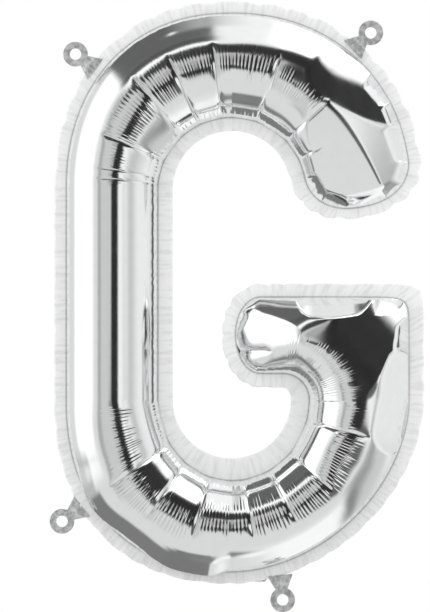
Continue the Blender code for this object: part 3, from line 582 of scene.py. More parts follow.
def rounds(inner, outer, depth, power, phi, lean):
    """Rows of every cut: middle + half chord * cos(phi) + lean * (|cos(phi)| - 1) in the letter's
    plane, and towards the viewer depth * (1 - |cos(phi)|^n)^(1/n)."""
    middle, half = (inner + outer) / 2.0, (outer - inner) / 2.0
    across = np.cos(phi)[None, :]
    way = half / np.maximum(np.linalg.norm(half, axis=1, keepdims=True), 1e-6) * lean[:, None]
    flat = middle[:, None, :] + across[..., None] * half[:, None, :]
    flat = flat + (np.abs(across) - 1.0)[..., None] * way[:, None, :]
    n = np.where(across > 0.0, power[:, None], power[:, None] - INNER_SHARPER)
    rise = -depth[:, None] * (1.0 - np.abs(across) ** n) ** (1.0 / n)
    return np.stack([flat[..., 0], rise, flat[..., 1]], -1)


def reach_from(seam, value):
    """How far the tube takes to rise from one of the corner's seams: the first of its reaches, which
    gives way to each next one over a stretch of the value."""
    reaches = CORNER_RISE[seam]
    reach = reaches[0]
    for last, after, stretch in zip(reaches, reaches[1:], CORNER_CHANGES[seam]):
        reach = reach + (after - last) * smooth(*stretch, value)
    return reach


def corner_rows(rows, columns):
    """Height of the square corner and the crossbar as a product of rises: depth * rise from the
    outer seams * rise from the inner seam * fall to the left. The outer rise is sqrt(1 - W^2), with
    W = (right^k + top^k)^(1/k) of the shares still to go to either seam."""
    x, z = rows[..., 0], rows[..., 2]
    turn = np.where(columns["span"] == "corner", columns["value"], 90.0)[:, None]
    seam_right = CORNER_CENTRE_X + BENDS["corner"][OUTER_SEAM][0]
    seam_top = LOWER_CENTRE_Z + BENDS["corner"][OUTER_SEAM][1]
    right = np.clip(1.0 - (seam_right - x) / reach_from("right", turn), 0.0, 1.0)
    top = np.clip(1.0 - (seam_top - z) / reach_from("top", x), 0.0, 1.0)
    k = CORNER_JOIN["power"] + CORNER_JOIN["gain"] * np.maximum(right, top) ** 4
    whole = (right**k + top**k) ** (1.0 / k)
    whole = np.clip(whole / np.maximum(whole[:, :1], 1e-3), 0.0, 1.0)
    outer_rise = np.sqrt(1.0 - whole**2)
    from_inner = np.linalg.norm(rows[..., ::2] - columns["inner"][:, None, :], axis=-1)
    inner = np.clip(1.0 - from_inner / reach_from("inner", turn), 0.0, 1.0)
    inner_rise = np.sqrt(1.0 - inner**2)
    left = (x - BAR_SLOPE["to_x"]) / (BAR_SLOPE["from_x"] - BAR_SLOPE["to_x"])
    left = BAR_SLOPE["tip_share"] + (1.0 - BAR_SLOPE["tip_share"]) * left
    left = softer_of(left, np.ones_like(x), BAR_SLOPE["softness"])
    height = columns["depth"][:, None] * outer_rise * inner_rise * np.clip(left, 0.0, 1.0)
    place = np.isin(columns["span"], ("corner", "bar", "crossbar_cap"))
    rows[place, :, 1] = -height[place]
    return rows


def softer_of(a, b, width):
    """The lower of two sheets, with their meeting rounded over width: min - (w - |a - b|)^2 / 4w."""
    return np.minimum(a, b) - np.maximum(width - np.abs(a - b), 0.0) ** 2 / (4.0 * width)


def seam_point(span, value, side):
    """A point of the seam and the unit direction away from the film there."""
    inner, outer = chords(span, np.array([value - 0.5, value, value + 0.5]))
    line = outer if side == "outer" else inner
    along = line[2] - line[0]
    away = np.array([along[1], -along[0]]) / np.linalg.norm(along)
    across = outer[1] - inner[1]
    if side == "inner":
        across = -across
    return line[1], away * (1.0 if away @ across > 0.0 else -1.0)


def part_of(columns):
    """Which end of the tube a column belongs to, and how far it is from it, for planes that only
    cut one end: 0 inside the end, growing beyond it."""
    span, value = columns["span"], columns["value"]
    part = np.where(np.isin(span, ("upper_arm_cap", "upper_right")), "end", "none")
    part = np.where(np.isin(span, ("lower_right", "corner", "bar", "crossbar_cap")), "bar", part)
    rise, low, high = FACE_ENDS["upper_right"]
    beyond = np.where(span == "upper_right", rise * smooth(low, high, value), 0.0)
    rise, low, high = FACE_ENDS["lower_right"]
    beyond = np.where(span == "lower_right", rise * (1.0 - smooth(low, high, value)), beyond)
    return part, beyond


def with_faces(rows, columns):
    """The skin cut by planes. A face's height is height - fall * t - gain * t^2 / 2, with t the
    distance the way it falls. A facet beside the seam rises from the seam's tangent inwards, and
    curls up towards the end of its own half length."""
    height = -rows[..., 1]
    least = LEAST_HEIGHT_SHARE * height
    flat = rows[..., ::2]
    part, beyond = part_of(columns)
    for own, x, z, at, turn, fall, gain, bow, softness in FACES:
        way = np.array([math.cos(math.radians(turn)), math.sin(math.radians(turn))])
        t = (flat - np.array([x, z])) @ way
        beside = (flat - np.array([x, z])) @ np.array([-way[1], way[0]])
        plane = at - fall * t - gain * np.maximum(t, 0.0) ** 2 / 2.0
        plane = plane - bow * beside**2 / 2.0 + beyond[:, None]
        height = np.where((part == own)[:, None], softer_of(height, plane, softness), height)
    for own, span, at, side, turn, rise, reach in LENSES:
        point, away = seam_point(span, at, side)
        c, s = math.cos(math.radians(turn)), math.sin(math.radians(turn))
        away = np.array([away[0] * c - away[1] * s, away[0] * s + away[1] * c])
        inwards = (point - flat) @ away
        aside = np.abs((flat - point) @ np.array([-away[1], away[0]]))
        past = np.maximum(aside / reach - LENS_FLAT_SHARE, 0.0) / (1.0 - LENS_FLAT_SHARE)
        plane = rise * inwards + LENS_CURL * past**2 + LENS_BACK_CURL * np.maximum(-inwards, 0.0) ** 2
        cut = softer_of(height, plane, LENS_SOFTNESS)
        height = np.where((part == own)[:, None], cut, height)
    rows[..., 1] = -np.maximum(height, least)
    return rows


def tube_columns():
    """Every column of the grid: its span and value, chord points, depth, and the cuts of the two
    creases that it lies between, for the slack inner half."""
    parts = []
    for span, first, last, count in PATH:
        value = np.linspace(first, last, count, endpoint=span == PATH[-1][0])
        marks = np.array(sorted({first, last, *(c[1] for c in CREASES if c[0] == span)}))
        if span in BENDS and span != "corner":
            slot = np.clip(np.searchsorted(marks, value, side="right") - 1, 0, len(marks) - 2)
            low, high = marks[slot], marks[slot + 1]
            share = (value - low) / (high - low)
        else:
            low = high = value
            share = np.zeros(count)
        columns = {"span": np.full(count, span, dtype="U16"), "value": value, "share": share,
                   "power": cut_power(span, value), "lean": crest_lean(span, value)}
        for which, at in (("", value), ("low_", low), ("high_", high)):
            columns[which + "inner"], columns[which + "outer"] = chords(span, at)
            columns[which + "depth"] = half_depth(span, at)
        parts.append(columns)
    return {key: np.concatenate([part[key] for part in parts]) for key in parts[0]}


def row_angles():
    """Rows round a cut, closer together on the slack inner half than on the taut outer one, and
    closest beside the seams."""
    first, last = CREST_TURNS
    return np.radians(np.concatenate([
        first * np.linspace(0.0, 1.0, ROWS["outer"], endpoint=False) ** ROW_POWERS["outer"],
        np.linspace(first, last, ROWS["crest"], endpoint=False),
        180.0 - (180.0 - last) * np.linspace(1.0, 0.0, ROWS["inner"]) ** ROW_POWERS["inner"],
    ]))


def place_of(columns, span, value):
    """The grid column, as a number with a fraction, of a value of one span's own measure."""
    own = np.flatnonzero(columns["span"] == span)
    values = columns["value"][own]
    order = np.argsort(values)
    return float(np.interp(value, values[order], own[order]))


def tube_rows(columns, phi):
    """The smooth tube, its slack inner half drawn mostly straight from crease to crease, with the
    square corner, the crossbar's slope and the taut facets beside the seam."""
    def cuts(which):
        inner, outer, depth = (columns[which + key] for key in ("inner", "outer", "depth"))
        return rounds(inner, outer, depth, columns["power"], phi, columns["lean"])

    share = columns["share"][:, None, None]
    straight = cuts("low_") * (1.0 - share) + cuts("high_") * share
    slack = SLACK_SHARE * smooth(*np.radians(SLACK_TURNS), phi)[None, :, None]
    rows = cuts("") * (1.0 - slack) + straight * slack
    rows = corner_rows(rows, columns)
    return swollen(with_faces(rows, columns), columns, phi)


def swollen(rows, columns, phi):
    """The film beside the outer seam moved out over the margin: reach * window of the run * rise
    over the first degrees * cos(phi) up to the crest."""
    reach = np.zeros(len(rows))
    for span, first, whole, falls, last, far in BULGES:
        value = columns["value"]
        window = smooth(first, whole, value) * (1.0 - smooth(falls, last, value))
        reach += far * window * (columns["span"] == span)
    outwards = columns["outer"] - columns["inner"]
    outwards = outwards / np.maximum(np.linalg.norm(outwards, axis=1, keepdims=True), 1e-6)
    degrees = np.degrees(phi)
    bump = smooth(0.0, BULGE_TURN, degrees) * np.clip(np.cos(phi), 0.0, 1.0)
    rows[..., ::2] += outwards[:, None, :] * (reach[:, None] * bump[None, :])[..., None]
    return rows


def run_lengths(rows, phi):
    """Length along the tube at each column, measured a little inside the crest."""
    crest = rows[:, int(np.searchsorted(phi, math.radians(RUN_TURN)))]
    return np.concatenate([[0.0], np.cumsum(np.linalg.norm(np.diff(crest, axis=0), axis=1))])


def normals_of(rows):
    """Unit normals of a grid, away from the tube's inside."""
    along = np.gradient(rows, axis=0)
    across = np.gradient(rows, axis=1)
    normal = np.cross(across, along)
    length = np.linalg.norm(normal, axis=-1, keepdims=True)
    normal = normal / np.maximum(length, 1e-9)
    middle = (rows[:, :1] + rows[:, -1:]) / 2.0
    turned = np.sum(normal * (rows - middle), axis=-1, keepdims=True)
    return normal * np.where(turned.mean() < 0.0, -1.0, 1.0)


def crease_field(columns, run, phi, share):
    """Depth of every radial crease: depth * exp(-distance / width), full from its tip to the inner
    seam and fading over some degrees at the tip."""
    field = np.zeros((len(run), len(phi)))
    degrees = np.degrees(phi)
    for span, value, tip, depth, width in CREASES:
        at = np.interp(place_of(columns, span, value), np.arange(len(run)), run)
        across = np.exp(-np.abs(run - at) / width)
        down = smooth(tip - CREASE_TIP, tip + CREASE_TIP, degrees) * (1.0 - smooth(*CREASE_END, degrees))
        field -= depth * share * across[:, None] * down[None, :]
    return field


def dent_field(rows):
    """Depth of every sharp fold: depth * exp(-distance / width) of the distance from its line, fading
    past both ends."""
    flat = rows[..., ::2]
    field = np.zeros(flat.shape[:2])
    past = DENT_FADE["past"]
    for x, z, to_x, to_z, depth, width in DENTS:
        start, run = np.array([x, z]), np.array([to_x - x, to_z - z])
        length = np.linalg.norm(run)
        way = run / length
        along = (flat - start) @ way
        aside = np.abs((flat - start) @ np.array([-way[1], way[0]]))
        inside = smooth(-past, DENT_FADE["start"], along)
        inside = inside * (1.0 - smooth(length - DENT_FADE["end"], length + past, along))
        field -= depth * np.exp(-aside / width) * inside
    return field


def uneven(rng, run, changes, low, high):
    """A value at every column, drawn afresh at evenly spaced places of the run and even in between."""
    return np.interp(run, np.linspace(0.0, run[-1], changes), rng.uniform(low, high, changes))


def pleat_field(columns, run, phi, sizes, seed):
    """Fine pleats, rounded outside and sharp between: depth * (2 |sin(pi t)| - mean + overtone *
    sin(4 pi t)), with t the run over an uneven pitch. Each has its own start, end and strength."""
    rng = np.random.default_rng(seed)
    degrees = np.degrees(phi)[None, :]
    pitch = sizes.pleat_pitch * (1.0 + PLEATS["uneven"] * uneven(rng, run, PLEATS["changes"], -1.0, 1.0))
    phase = np.concatenate([[0.0], np.cumsum(np.diff(run) / pitch[1:])])
    index = np.floor(phase).astype(int)
    wave = 2.0 * np.abs(np.sin(np.pi * phase)) - PLEATS["mean"]
    wave = wave + PLEATS["overtone"] * np.sin(4.0 * np.pi * phase)
    count = index.max() + 2
    start_shift = rng.normal(0.0, PLEATS["start_spread"], count)[index]
    end_shift = rng.normal(0.0, PLEATS["end_spread"], count)[index]
    strength = rng.uniform(*PLEATS["strength"], count)[index]
    field = np.zeros((len(run), len(phi)))
    number = np.arange(len(run))
    side, start_fade, end_fade = PLEATS["side_columns"], PLEATS["start_fade"], PLEATS["end_fade"]
    for span, first, last, start, end, depth in COMBS:
        a, b = sorted((place_of(columns, span, first), place_of(columns, span, last)))
        inside = smooth(a, a + side, number) * (1.0 - smooth(b - side, b, number))
        low = (start + start_shift)[:, None]
        high = (end + end_shift)[:, None]
        band = smooth(0.0, start_fade, degrees - low)
        band = band * (1.0 - smooth(0.0, end_fade, degrees - high + end_fade / 2.0))
        field += depth * sizes.pleat_depth * (inside * strength * wave)[:, None] * band
    return field


def crinkle_field(columns, run, phi, seed):
    """Small crinkles beside both seams: a sum of sines along the run whose phases drift across the
    cut, strongest at the seam."""
    rng = np.random.default_rng(seed + SEEDS["crinkles"])
    degrees = np.degrees(phi)[None, :]
    field = np.zeros((len(run), len(phi)))
    swing, per_degree = CRINKLE_DRIFT["phase"], CRINKLE_DRIFT["per_degree"]
    for pitch, depth in CRINKLES:
        drift = uneven(rng, run, CRINKLE_DRIFT["changes"], -swing, swing)[:, None]
        strength = uneven(rng, run, CRINKLE_STRENGTH["changes"], *CRINKLE_STRENGTH["range"])[:, None]
        field += depth * strength * np.sin(2.0 * np.pi * run[:, None] / pitch + drift + per_degree * degrees)
    rises, falls = CRINKLE_TURNS["inner"]
    inner = smooth(*rises, degrees) * (1.0 - smooth(*falls, degrees))
    falls, rises = CRINKLE_TURNS["outer"]
    outer = CRINKLE_STRENGTH["outer"] * (1.0 - smooth(*falls, degrees)) * smooth(*rises, degrees)
    at_end = np.isin(columns["span"], ("upper_arm_cap", "upper_right"))
    taut = at_end & (columns["value"] < CRINKLE_STRENGTH["taut_below"])
    return field * (inner + outer) * np.where(taut, CRINKLE_STRENGTH["taut"], 1.0)[:, None]


def grid_mesh(name, points, closed=False):
    """A mesh of quads from a grid of points in millimetres, wound so that it faces away from the
    tube. In an open grid, the first column's points fall together at the upper arm's tip and are
    merged. The last column's, at the crossbar's tip, stay separate points at one place."""
    columns, rows = points.shape[:2]
    number = np.arange(columns * rows).reshape(columns, rows)
    low, high = (number, np.roll(number, -1, axis=0)) if closed else (number[:-1], number[1:])
    quads = np.stack([low[:, :-1], low[:, 1:], high[:, 1:], high[:, :-1]], -1).reshape(-1, 4)
    mesh = bpy.data.meshes.new(name)
    mesh.vertices.add(columns * rows)
    mesh.vertices.foreach_set("co", (points.reshape(-1, 3) * MM).astype(np.float32).ravel())
    mesh.loops.add(quads.size)
    mesh.loops.foreach_set("vertex_index", quads.ravel().astype(np.int32))
    mesh.polygons.add(len(quads))
    mesh.polygons.foreach_set("loop_start", np.arange(0, quads.size, 4, dtype=np.int32))
    mesh.polygons.foreach_set("use_smooth", np.ones(len(quads), bool))
    mesh.update(calc_edges=True)
    mesh.validate()
    if not closed:
        merge_points(mesh, rows)
    return mesh


def merge_points(mesh, count):
    """Merges those of the mesh's first points, as many as count, that fall together."""
    work = bmesh.new()
    work.from_mesh(mesh)
    work.verts.ensure_lookup_table()
    bmesh.ops.remove_doubles(work, verts=work.verts[:count], dist=MERGE_DISTANCE * MM)
    work.to_mesh(mesh)
    work.free()


def linked(name, mesh, material):
    """An object of this mesh in the scene, with this material."""
    obj = bpy.data.objects.new(name, mesh)
    bpy.context.scene.collection.objects.link(obj)
    mesh.materials.append(material)
    return obj


def add_piece(name, mesh, material, body, node):
    """A piece that rides on a body and takes the place of one node."""
    obj = linked(name, mesh, material)
    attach(obj, body)
    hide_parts(node)
    return obj


def skin_points(sizes, seed):
    """The front skin as a grid: the tube's rows moved along their normals by creases and pleats."""
    columns = tube_columns()
    phi = row_angles()
    rows = tube_rows(columns, phi)
    run = run_lengths(rows, phi)
    normal = normals_of(rows)
    move = crease_field(columns, run, phi, sizes.crease_depth) + dent_field(rows)
    move += pleat_field(columns, run, phi, sizes, seed)
    move += crinkle_field(columns, run, phi, seed)
    rows = rows + normal * move[..., None]
    rows[..., 1] = np.minimum(rows[..., 1], 0.0) - SEAM_LIFT
    return rows


class BALLOON_OT_skins(bpy.types.Operator):
    """Builds the front and back mirror-foil skins"""

    bl_idname = "balloon.skins"
    bl_label = "Foil skins"

    def execute(self, context):
        sizes = context.scene.balloon_sizes
        material = bpy.data.materials["mirror_foil_look"]
        for name, node, side, seed in (
            ("front_foil", "front_film", 1.0, sizes.seed),
            ("back_foil", "back_film", -1.0, sizes.seed + 1),
        ):
            points = skin_points(sizes, seed) * np.array([1.0, side, 1.0])
            mesh = grid_mesh(name, points if side < 0 else points[:, ::-1])
            skin = add_piece(name, mesh, material, "envelope", node)
        return {"FINISHED"}


def margin_loop():
    """One closed loop round the letter, along the outer line to the crossbar's tip and back along
    the inner one: the span and side of each point, and its places on the seam and on the edge."""
    keys, inner, outer = [], {"seam": [], "edge": []}, {"seam": [], "edge": []}
    for span, first, last, count in PATH:
        value = np.linspace(first, last, count, endpoint=span == PATH[-1][0])
        keys += [span] * count
        for line in inner:
            low, high = chords(span, value, line == "edge", 0.0)
            inner[line].append(low)
            outer[line].append(high)
    seam, edge = (np.concatenate([*outer[line], np.concatenate(inner[line])[::-1][1:-1]]) for line in inner)
    spans = np.array(keys + keys[::-1][1:-1])
    sides = np.array(["outer"] * len(keys) + ["inner"] * (len(keys) - 2))
    return spans, sides, seam, edge


def margin_grid(sizes):
    """The margin as a grid: columns along the loop round the letter, rows from under the film to the
    scalloped edge. Edge = line of the edge - depth * (1 - |sin(pi * run / pitch)|^n), and the sheet
    leaves its plane by ripple * share^2 * a few sines of the run. Returns the points, the run along
    the loop and the distance of each point from the seam, which is negative under the film."""
    spans, sides, seam, edge = margin_loop()
    step = np.linalg.norm(np.roll(edge, -1, axis=0) - edge, axis=1)
    run = np.concatenate([[0.0], np.cumsum(step)[:-1]])
    pitch, depth = np.full(len(run), SCALLOP_PITCH), np.zeros(len(run))
    for span, side, its_pitch, its_depth in SCALLOPS:
        own = (spans == span) & (sides == side)
        pitch[own], depth[own] = its_pitch, its_depth
    around = SCALLOP_EVENED // 2
    kernel = np.ones(SCALLOP_EVENED) / SCALLOP_EVENED
    depth = np.convolve(np.concatenate([depth[-around:], depth, depth[:around]]), kernel, "valid")
    phase = np.concatenate([[0.0], np.cumsum(step / pitch)[:-1]])
    rng = np.random.default_rng(sizes.seed + SEEDS["scallops"])
    far, often, latest = SCALLOP_WANDER
    phase = phase + far * np.sin(phase * often + rng.uniform(0.0, latest))
    away = edge - seam
    away = away / np.linalg.norm(away, axis=1, keepdims=True)
    edge = edge - away * (depth * (1.0 - np.abs(np.sin(np.pi * phase)) ** SCALLOP_POWER))[:, None]
    foot = seam - away * MARGIN_OVERLAP
    share = np.concatenate([[0.0], np.linspace(MARGIN_FIRST_SHARE, 1.0, MARGIN_ROWS)])[None, :]
    flat = foot[:, None, :] * (1.0 - share)[..., None] + edge[:, None, :] * share[..., None]
    lap = 2.0 * np.pi / run[-1]
    waves = sum(part * np.sin(lap * round(run[-1] / length) * run + start) for length, part, start in RIPPLES)
    lift = sizes.margin_ripple * 0.5 * waves[:, None] * share**2
    from_seam = np.linalg.norm(flat - seam[:, None, :], axis=-1)
    from_foot = share * np.linalg.norm(edge - foot, axis=1)[:, None]
    from_seam = np.where(from_foot < MARGIN_OVERLAP, -from_seam, from_seam)
    points = np.stack([flat[..., 0], lift, flat[..., 1]], -1)
    return points, run, from_seam


def thick_sheet(points, thick):
    """Both faces of a thin sheet and its rims as one grid that goes round each cut: the points at
    -thick/2 along Y, then back at +thick/2, and the first again as points of its own."""
    front, back = points.copy(), points[:, ::-1].copy()
    front[..., 1] -= thick / 2.0
    back[..., 1] += thick / 2.0
    return np.concatenate([front, back, front[:, :1]], axis=1)


def set_uv(mesh, u, v):
    """A UV map with one pair of values per vertex, in metres."""
    layer = mesh.uv_layers.new(name="weld")
    index = np.empty(len(mesh.loops), np.int32)
    mesh.loops.foreach_get("vertex_index", index)
    layer.data.foreach_set("uv", (np.stack([u, v], -1) * MM)[index].astype(np.float32).ravel())


class BALLOON_OT_margin(bpy.types.Operator):
    """Builds the flat welded margin with its scalloped edge"""

    bl_idname = "balloon.margin"
    bl_label = "Welded margin"

    def execute(self, context):
        points, run, from_seam = margin_grid(context.scene.balloon_sizes)
        mesh = grid_mesh("weld_margin", thick_sheet(points, WELD_THICK), closed=True)
        across = np.concatenate([from_seam, from_seam[:, ::-1], from_seam[:, :1]], axis=1)
        along = np.repeat(run[:, None], across.shape[1], axis=1)
        set_uv(mesh, along.ravel(), across.ravel())
        material = bpy.data.materials["welded_foil_look"]
        add_piece("weld_margin", mesh, material, "envelope", "seam_margin")
        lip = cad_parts["filling_mouth_lip"].data
        lip.materials.clear()
        lip.materials.append(bpy.data.materials["tab_foil_look"])
        return {"FINISHED"}


def tab_reach(turn):
    """Distance from a tab's hole centre to its outline, by the turn from the neck: the ring's
    radius, or along the neck as far as |across| <= half width(along) and along <= root."""
    furthest = TAB_ROOT / math.cos(math.radians(TAB_WIDEST_TURN))
    along = np.linspace(0.0, furthest, TAB_STEPS["samples"])
    x = along[None, :] * np.cos(turn)[:, None]
    y = along[None, :] * np.abs(np.sin(turn))[:, None]
    half = TAB_NECK_HALF + (TAB_ROOT_HALF - TAB_NECK_HALF) * smooth(TAB_RADIUS, TAB_ROOT, x)
    neck = (y <= half) & (x <= TAB_ROOT) & (x >= 0.0)
    return np.maximum(TAB_RADIUS, np.max(np.where(neck, along[None, :], 0.0), axis=1))


def tab_points(centre, toward, seed):
    """A tab as a polar grid from its hole to its outline, bent a little out of its plane by slow
    waves, and pleated towards its root, which lies on the margin's front."""
    stretches = ((-math.pi, "ring"), (-TAB_NECK_TURN, "neck"), (TAB_NECK_TURN, "ring"), (math.pi, None))
    turn = np.concatenate([np.linspace(low, high, TAB_STEPS[kind], endpoint=False)
                           for (low, kind), (high, _) in zip(stretches, stretches[1:])])
    share = np.linspace(0.0, 1.0, TAB_STEPS["rings"])[None, :]
    radius = TAB_HOLE * (1.0 - share) + tab_reach(turn)[:, None] * share
    way = turn + math.radians(toward)
    x = centre[0] + radius * np.cos(way)[:, None]
    z = centre[1] + radius * np.sin(way)[:, None]
    along = radius * np.cos(turn)[:, None]
    aside = radius * np.sin(turn)[:, None]
    starts = np.random.default_rng(seed).uniform(-1.0, 1.0, 3)
    wave = sum(height * np.sin(per_mm * (down * along + over * aside) + TAB_WAVE_START * start)
               for (height, per_mm, down, over), start in zip(TAB_WAVES, starts))
    pleat = TAB_PLEAT["height"] * np.sin(2.0 * math.pi * aside / TAB_PLEAT["pitch"] + starts[0])
    pleat = pleat * smooth(TAB_RADIUS + TAB_PLEAT["starts"], TAB_RADIUS + TAB_PLEAT["whole"], along)
    root = -TAB_ROOT_LIFT * smooth(*(TAB_RADIUS + rise for rise in TAB_ROOT_RISE), along)
    return np.stack([x, wave + pleat + root, z], -1)


class BALLOON_OT_tabs(bpy.types.Operator):
    """Builds the four hanging tabs"""

    bl_idname = "balloon.tabs"
    bl_label = "Hanging tabs"

    def execute(self, context):
        material = bpy.data.materials["tab_foil_look"]
        seed = context.scene.balloon_sizes.seed + SEEDS["tabs"]
        for number, (node, body, x, z, toward, fold) in enumerate(TABS):
            points = tab_points((x, z), toward, seed + number)
            mesh = grid_mesh("foil_" + node, thick_sheet(points, WELD_THICK), closed=True)
            obj = linked("foil_" + node, mesh, material)
            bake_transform(obj)
            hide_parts(node)
        return {"FINISHED"}


def feed(tree, value, socket):
    """Links a value that another node puts out to a socket, or sets the socket to a plain value."""
    if isinstance(value, bpy.types.NodeSocket):
        tree.links.new(value, socket)
    else:
        socket.default_value = value


class NodeMaths:
    """Small helper that chains math nodes in one node tree."""

    def __init__(self, tree):
        self.tree = tree

    def node(self, operation, *values):
        node = self.tree.nodes.new("ShaderNodeMath")
        node.operation = operation
        for socket, value in zip(node.inputs, values):
            feed(self.tree, value, socket)
        return node.outputs[0]

    def times(self, a, b):
        return self.node("MULTIPLY", a, b)

    def plus(self, a, b):
        return self.node("ADD", a, b)

    def minus(self, a, b):
        return self.node("SUBTRACT", a, b)

    def length(self, a, b):
        """sqrt(a^2 + b^2)."""
        return self.node("SQRT", self.plus(self.times(a, a), self.times(b, b)))

    def turned(self, a, b, with_a, with_b):
        """a * with_a + b * with_b."""
        return self.plus(self.times(a, with_a), self.times(b, with_b))

    def degrees(self, cosine):
        """The angle of this cosine, in degrees."""
        return self.times(self.node("ARCCOSINE", cosine), math.degrees(1.0))

    def step(self, value, low, high):
        """A smooth step from 0 at low to 1 at high."""
        node = self.tree.nodes.new("ShaderNodeMapRange")
        node.interpolation_type = "SMOOTHSTEP"
        feed(self.tree, value, node.inputs["Value"])
        feed(self.tree, low, node.inputs["From Min"])
        feed(self.tree, high, node.inputs["From Max"])
        return node.outputs[0]

    def over(self, under, value, mask):
        """under where the mask is 0 and value where it is 1."""
        kept = self.times(under, self.minus(1.0, mask))
        return self.plus(kept, self.times(mask, value))


def foil_grain():
    """The node group for fine unevenness: noise of the vector lifts the surface by Height, moves the
    roughness by Spread to both sides, and goes out as a mask too, which the looks use for painted shade."""
    group = bpy.data.node_groups.new("foil_grain", "ShaderNodeTree")
    for way, names in (("INPUT", ("Vector", "Scale", "Detail", "Height", "Roughness", "Spread")),
                       ("OUTPUT", ("Roughness", "Mask", "Normal"))):
        for name in names:
            kind = "NodeSocketVector" if name in ("Vector", "Normal") else "NodeSocketFloat"
            group.interface.new_socket(name, in_out=way, socket_type=kind)
    maths = NodeMaths(group)
    given, out = group.nodes.new("NodeGroupInput"), group.nodes.new("NodeGroupOutput")
    noise = group.nodes.new("ShaderNodeTexNoise")
    for name in ("Vector", "Scale", "Detail"):
        group.links.new(given.outputs[name], noise.inputs[name])
    grain = noise.outputs["Fac"]
    swing = maths.times(maths.minus(grain, 0.5), given.outputs["Spread"])
    bump = group.nodes.new("ShaderNodeBump")
    group.links.new(grain, bump.inputs["Height"])
    group.links.new(given.outputs["Height"], bump.inputs["Distance"])
    group.links.new(maths.plus(swing, given.outputs["Roughness"]), out.inputs["Roughness"])
    group.links.new(grain, out.inputs["Mask"])
    group.links.new(bump.outputs["Normal"], out.inputs["Normal"])
    return group


def plain_look(name, colour, metallic):
    """A material with a plain colour."""
    material = bpy.data.materials.new(name)
    material.use_nodes = True
    shader = material.node_tree.nodes["Principled BSDF"]
    shader.inputs["Base Color"].default_value = (*colour, 1.0)
    shader.inputs["Metallic"].default_value = metallic
    return material


def grained(tree, group, vector, scale, detail, height, roughness, spread):
    """Adds the grain to a material's shader and returns its mask. Height is in millimetres."""
    grain = tree.nodes.new("ShaderNodeGroup")
    grain.node_tree = group
    for name, value in (("Vector", vector), ("Scale", scale), ("Detail", detail), ("Height", height * MM),
                        ("Roughness", roughness), ("Spread", spread)):
        feed(tree, value, grain.inputs[name])
    for name in ("Roughness", "Normal"):
        tree.links.new(grain.outputs[name], tree.nodes["Principled BSDF"].inputs[name])
    return grain.outputs["Mask"]


def shaded(tree, colour, mask, dark):
    """Painted shade: the colour where the mask is 0, and dark times the colour where it is 1."""
    mix = tree.nodes.new("ShaderNodeMix")
    mix.data_type = "RGBA"
    mix.blend_type = "MULTIPLY"
    for name, value in (("B", (dark, dark, dark, 1.0)), ("A", colour), ("Factor", mask)):
        feed(tree, value, mix.inputs[name])
    return mix.outputs["Result"]


def grained_look(group, name, colour, dark, metallic, scale, detail, height, roughness, spread):
    """A finish whose grain runs on the piece's own Object coordinates, with painted shade in the
    grain's hollows: dark times its colour there."""
    tree = plain_look(name, colour, metallic).node_tree
    place = tree.nodes.new("ShaderNodeTexCoord")
    mask = grained(tree, group, place.outputs["Object"], scale, detail, height, roughness, spread)
    # Painted shade: the colour is darkened in the grain's hollows
    hollow_shade = NodeMaths(tree).step(mask, *GRAIN_HOLLOW_SHADE)
    tone_with_painted_shade = shaded(tree, (*colour, 1.0), hollow_shade, dark)
    tree.links.new(tone_with_painted_shade, tree.nodes["Principled BSDF"].inputs["Base Color"])


def weld_look(group, name, colour, metallic, roughness):
    """Welded foil: paler and duller than the film, gathered across its width, with painted shade on the
    gathers and painted shade along the seam, where the film meets the margin."""
    tree = plain_look(name, colour, metallic).node_tree
    maths = NodeMaths(tree)
    uv = tree.nodes.new("ShaderNodeUVMap")
    uv.uv_map = "weld"
    stretched = tree.nodes.new("ShaderNodeVectorMath")
    stretched.operation = "MULTIPLY"
    stretched.inputs[1].default_value = (1.0, WELD_GRAIN["across"], 1.0)
    tree.links.new(uv.outputs[0], stretched.inputs[0])
    mask = grained(tree, group, stretched.outputs[0], WELD_GRAIN["scale"], WELD_GRAIN["detail"],
                   WELD_GRAIN["height"], roughness, WELD_GRAIN["spread"])
    split = tree.nodes.new("ShaderNodeSeparateXYZ")
    tree.links.new(uv.outputs[0], split.inputs[0])
    # Painted shade along the seam, where the film meets the margin
    line = maths.step(split.outputs[1], SEAM_SHADE["low"] * MM, SEAM_SHADE["high"] * MM)
    # Painted shade on the margin's gathers
    gather_shade = maths.step(mask, GATHER_SHADE["low"], GATHER_SHADE["high"])
    tone_with_painted_shade = shaded(tree, (*colour, 1.0), gather_shade, GATHER_SHADE["dark"])
    tone_with_painted_shade = shaded(tree, tone_with_painted_shade, line, SEAM_SHADE["dark"])
    tree.links.new(tone_with_painted_shade, tree.nodes["Principled BSDF"].inputs["Base Color"])


class BALLOON_OT_finishes(bpy.types.Operator):
    """Makes the foil finishes"""

    bl_idname = "balloon.finishes"
    bl_label = "Finishes"

    def execute(self, context):
        colours = context.scene.balloon_colours
        group = foil_grain()
        # Columns: material, colour, share of it kept in the grain's hollows as painted shade, metallic,
        # the grain's scale, detail and height, roughness, and how far the grain moves that
        for finish in (
            ("mirror_foil_look", colours.foil, 0.985, 1.0, 150.0, 2.0, 0.012, colours.foil_roughness, 0.05),
            ("tab_foil_look", colours.tab, 0.66, 0.55, 300.0, 3.0, 0.22, colours.tab_roughness, 0.3),
            ("floor_look", colours.floor, 0.96, 0.0, 40.0, 4.0, 0.02, 0.9, 0.1),
        ):
            grained_look(group, *finish)
        weld_look(group, "welded_foil_look", colours.weld, 0.12, colours.weld_roughness)
        return {"FINISHED"}


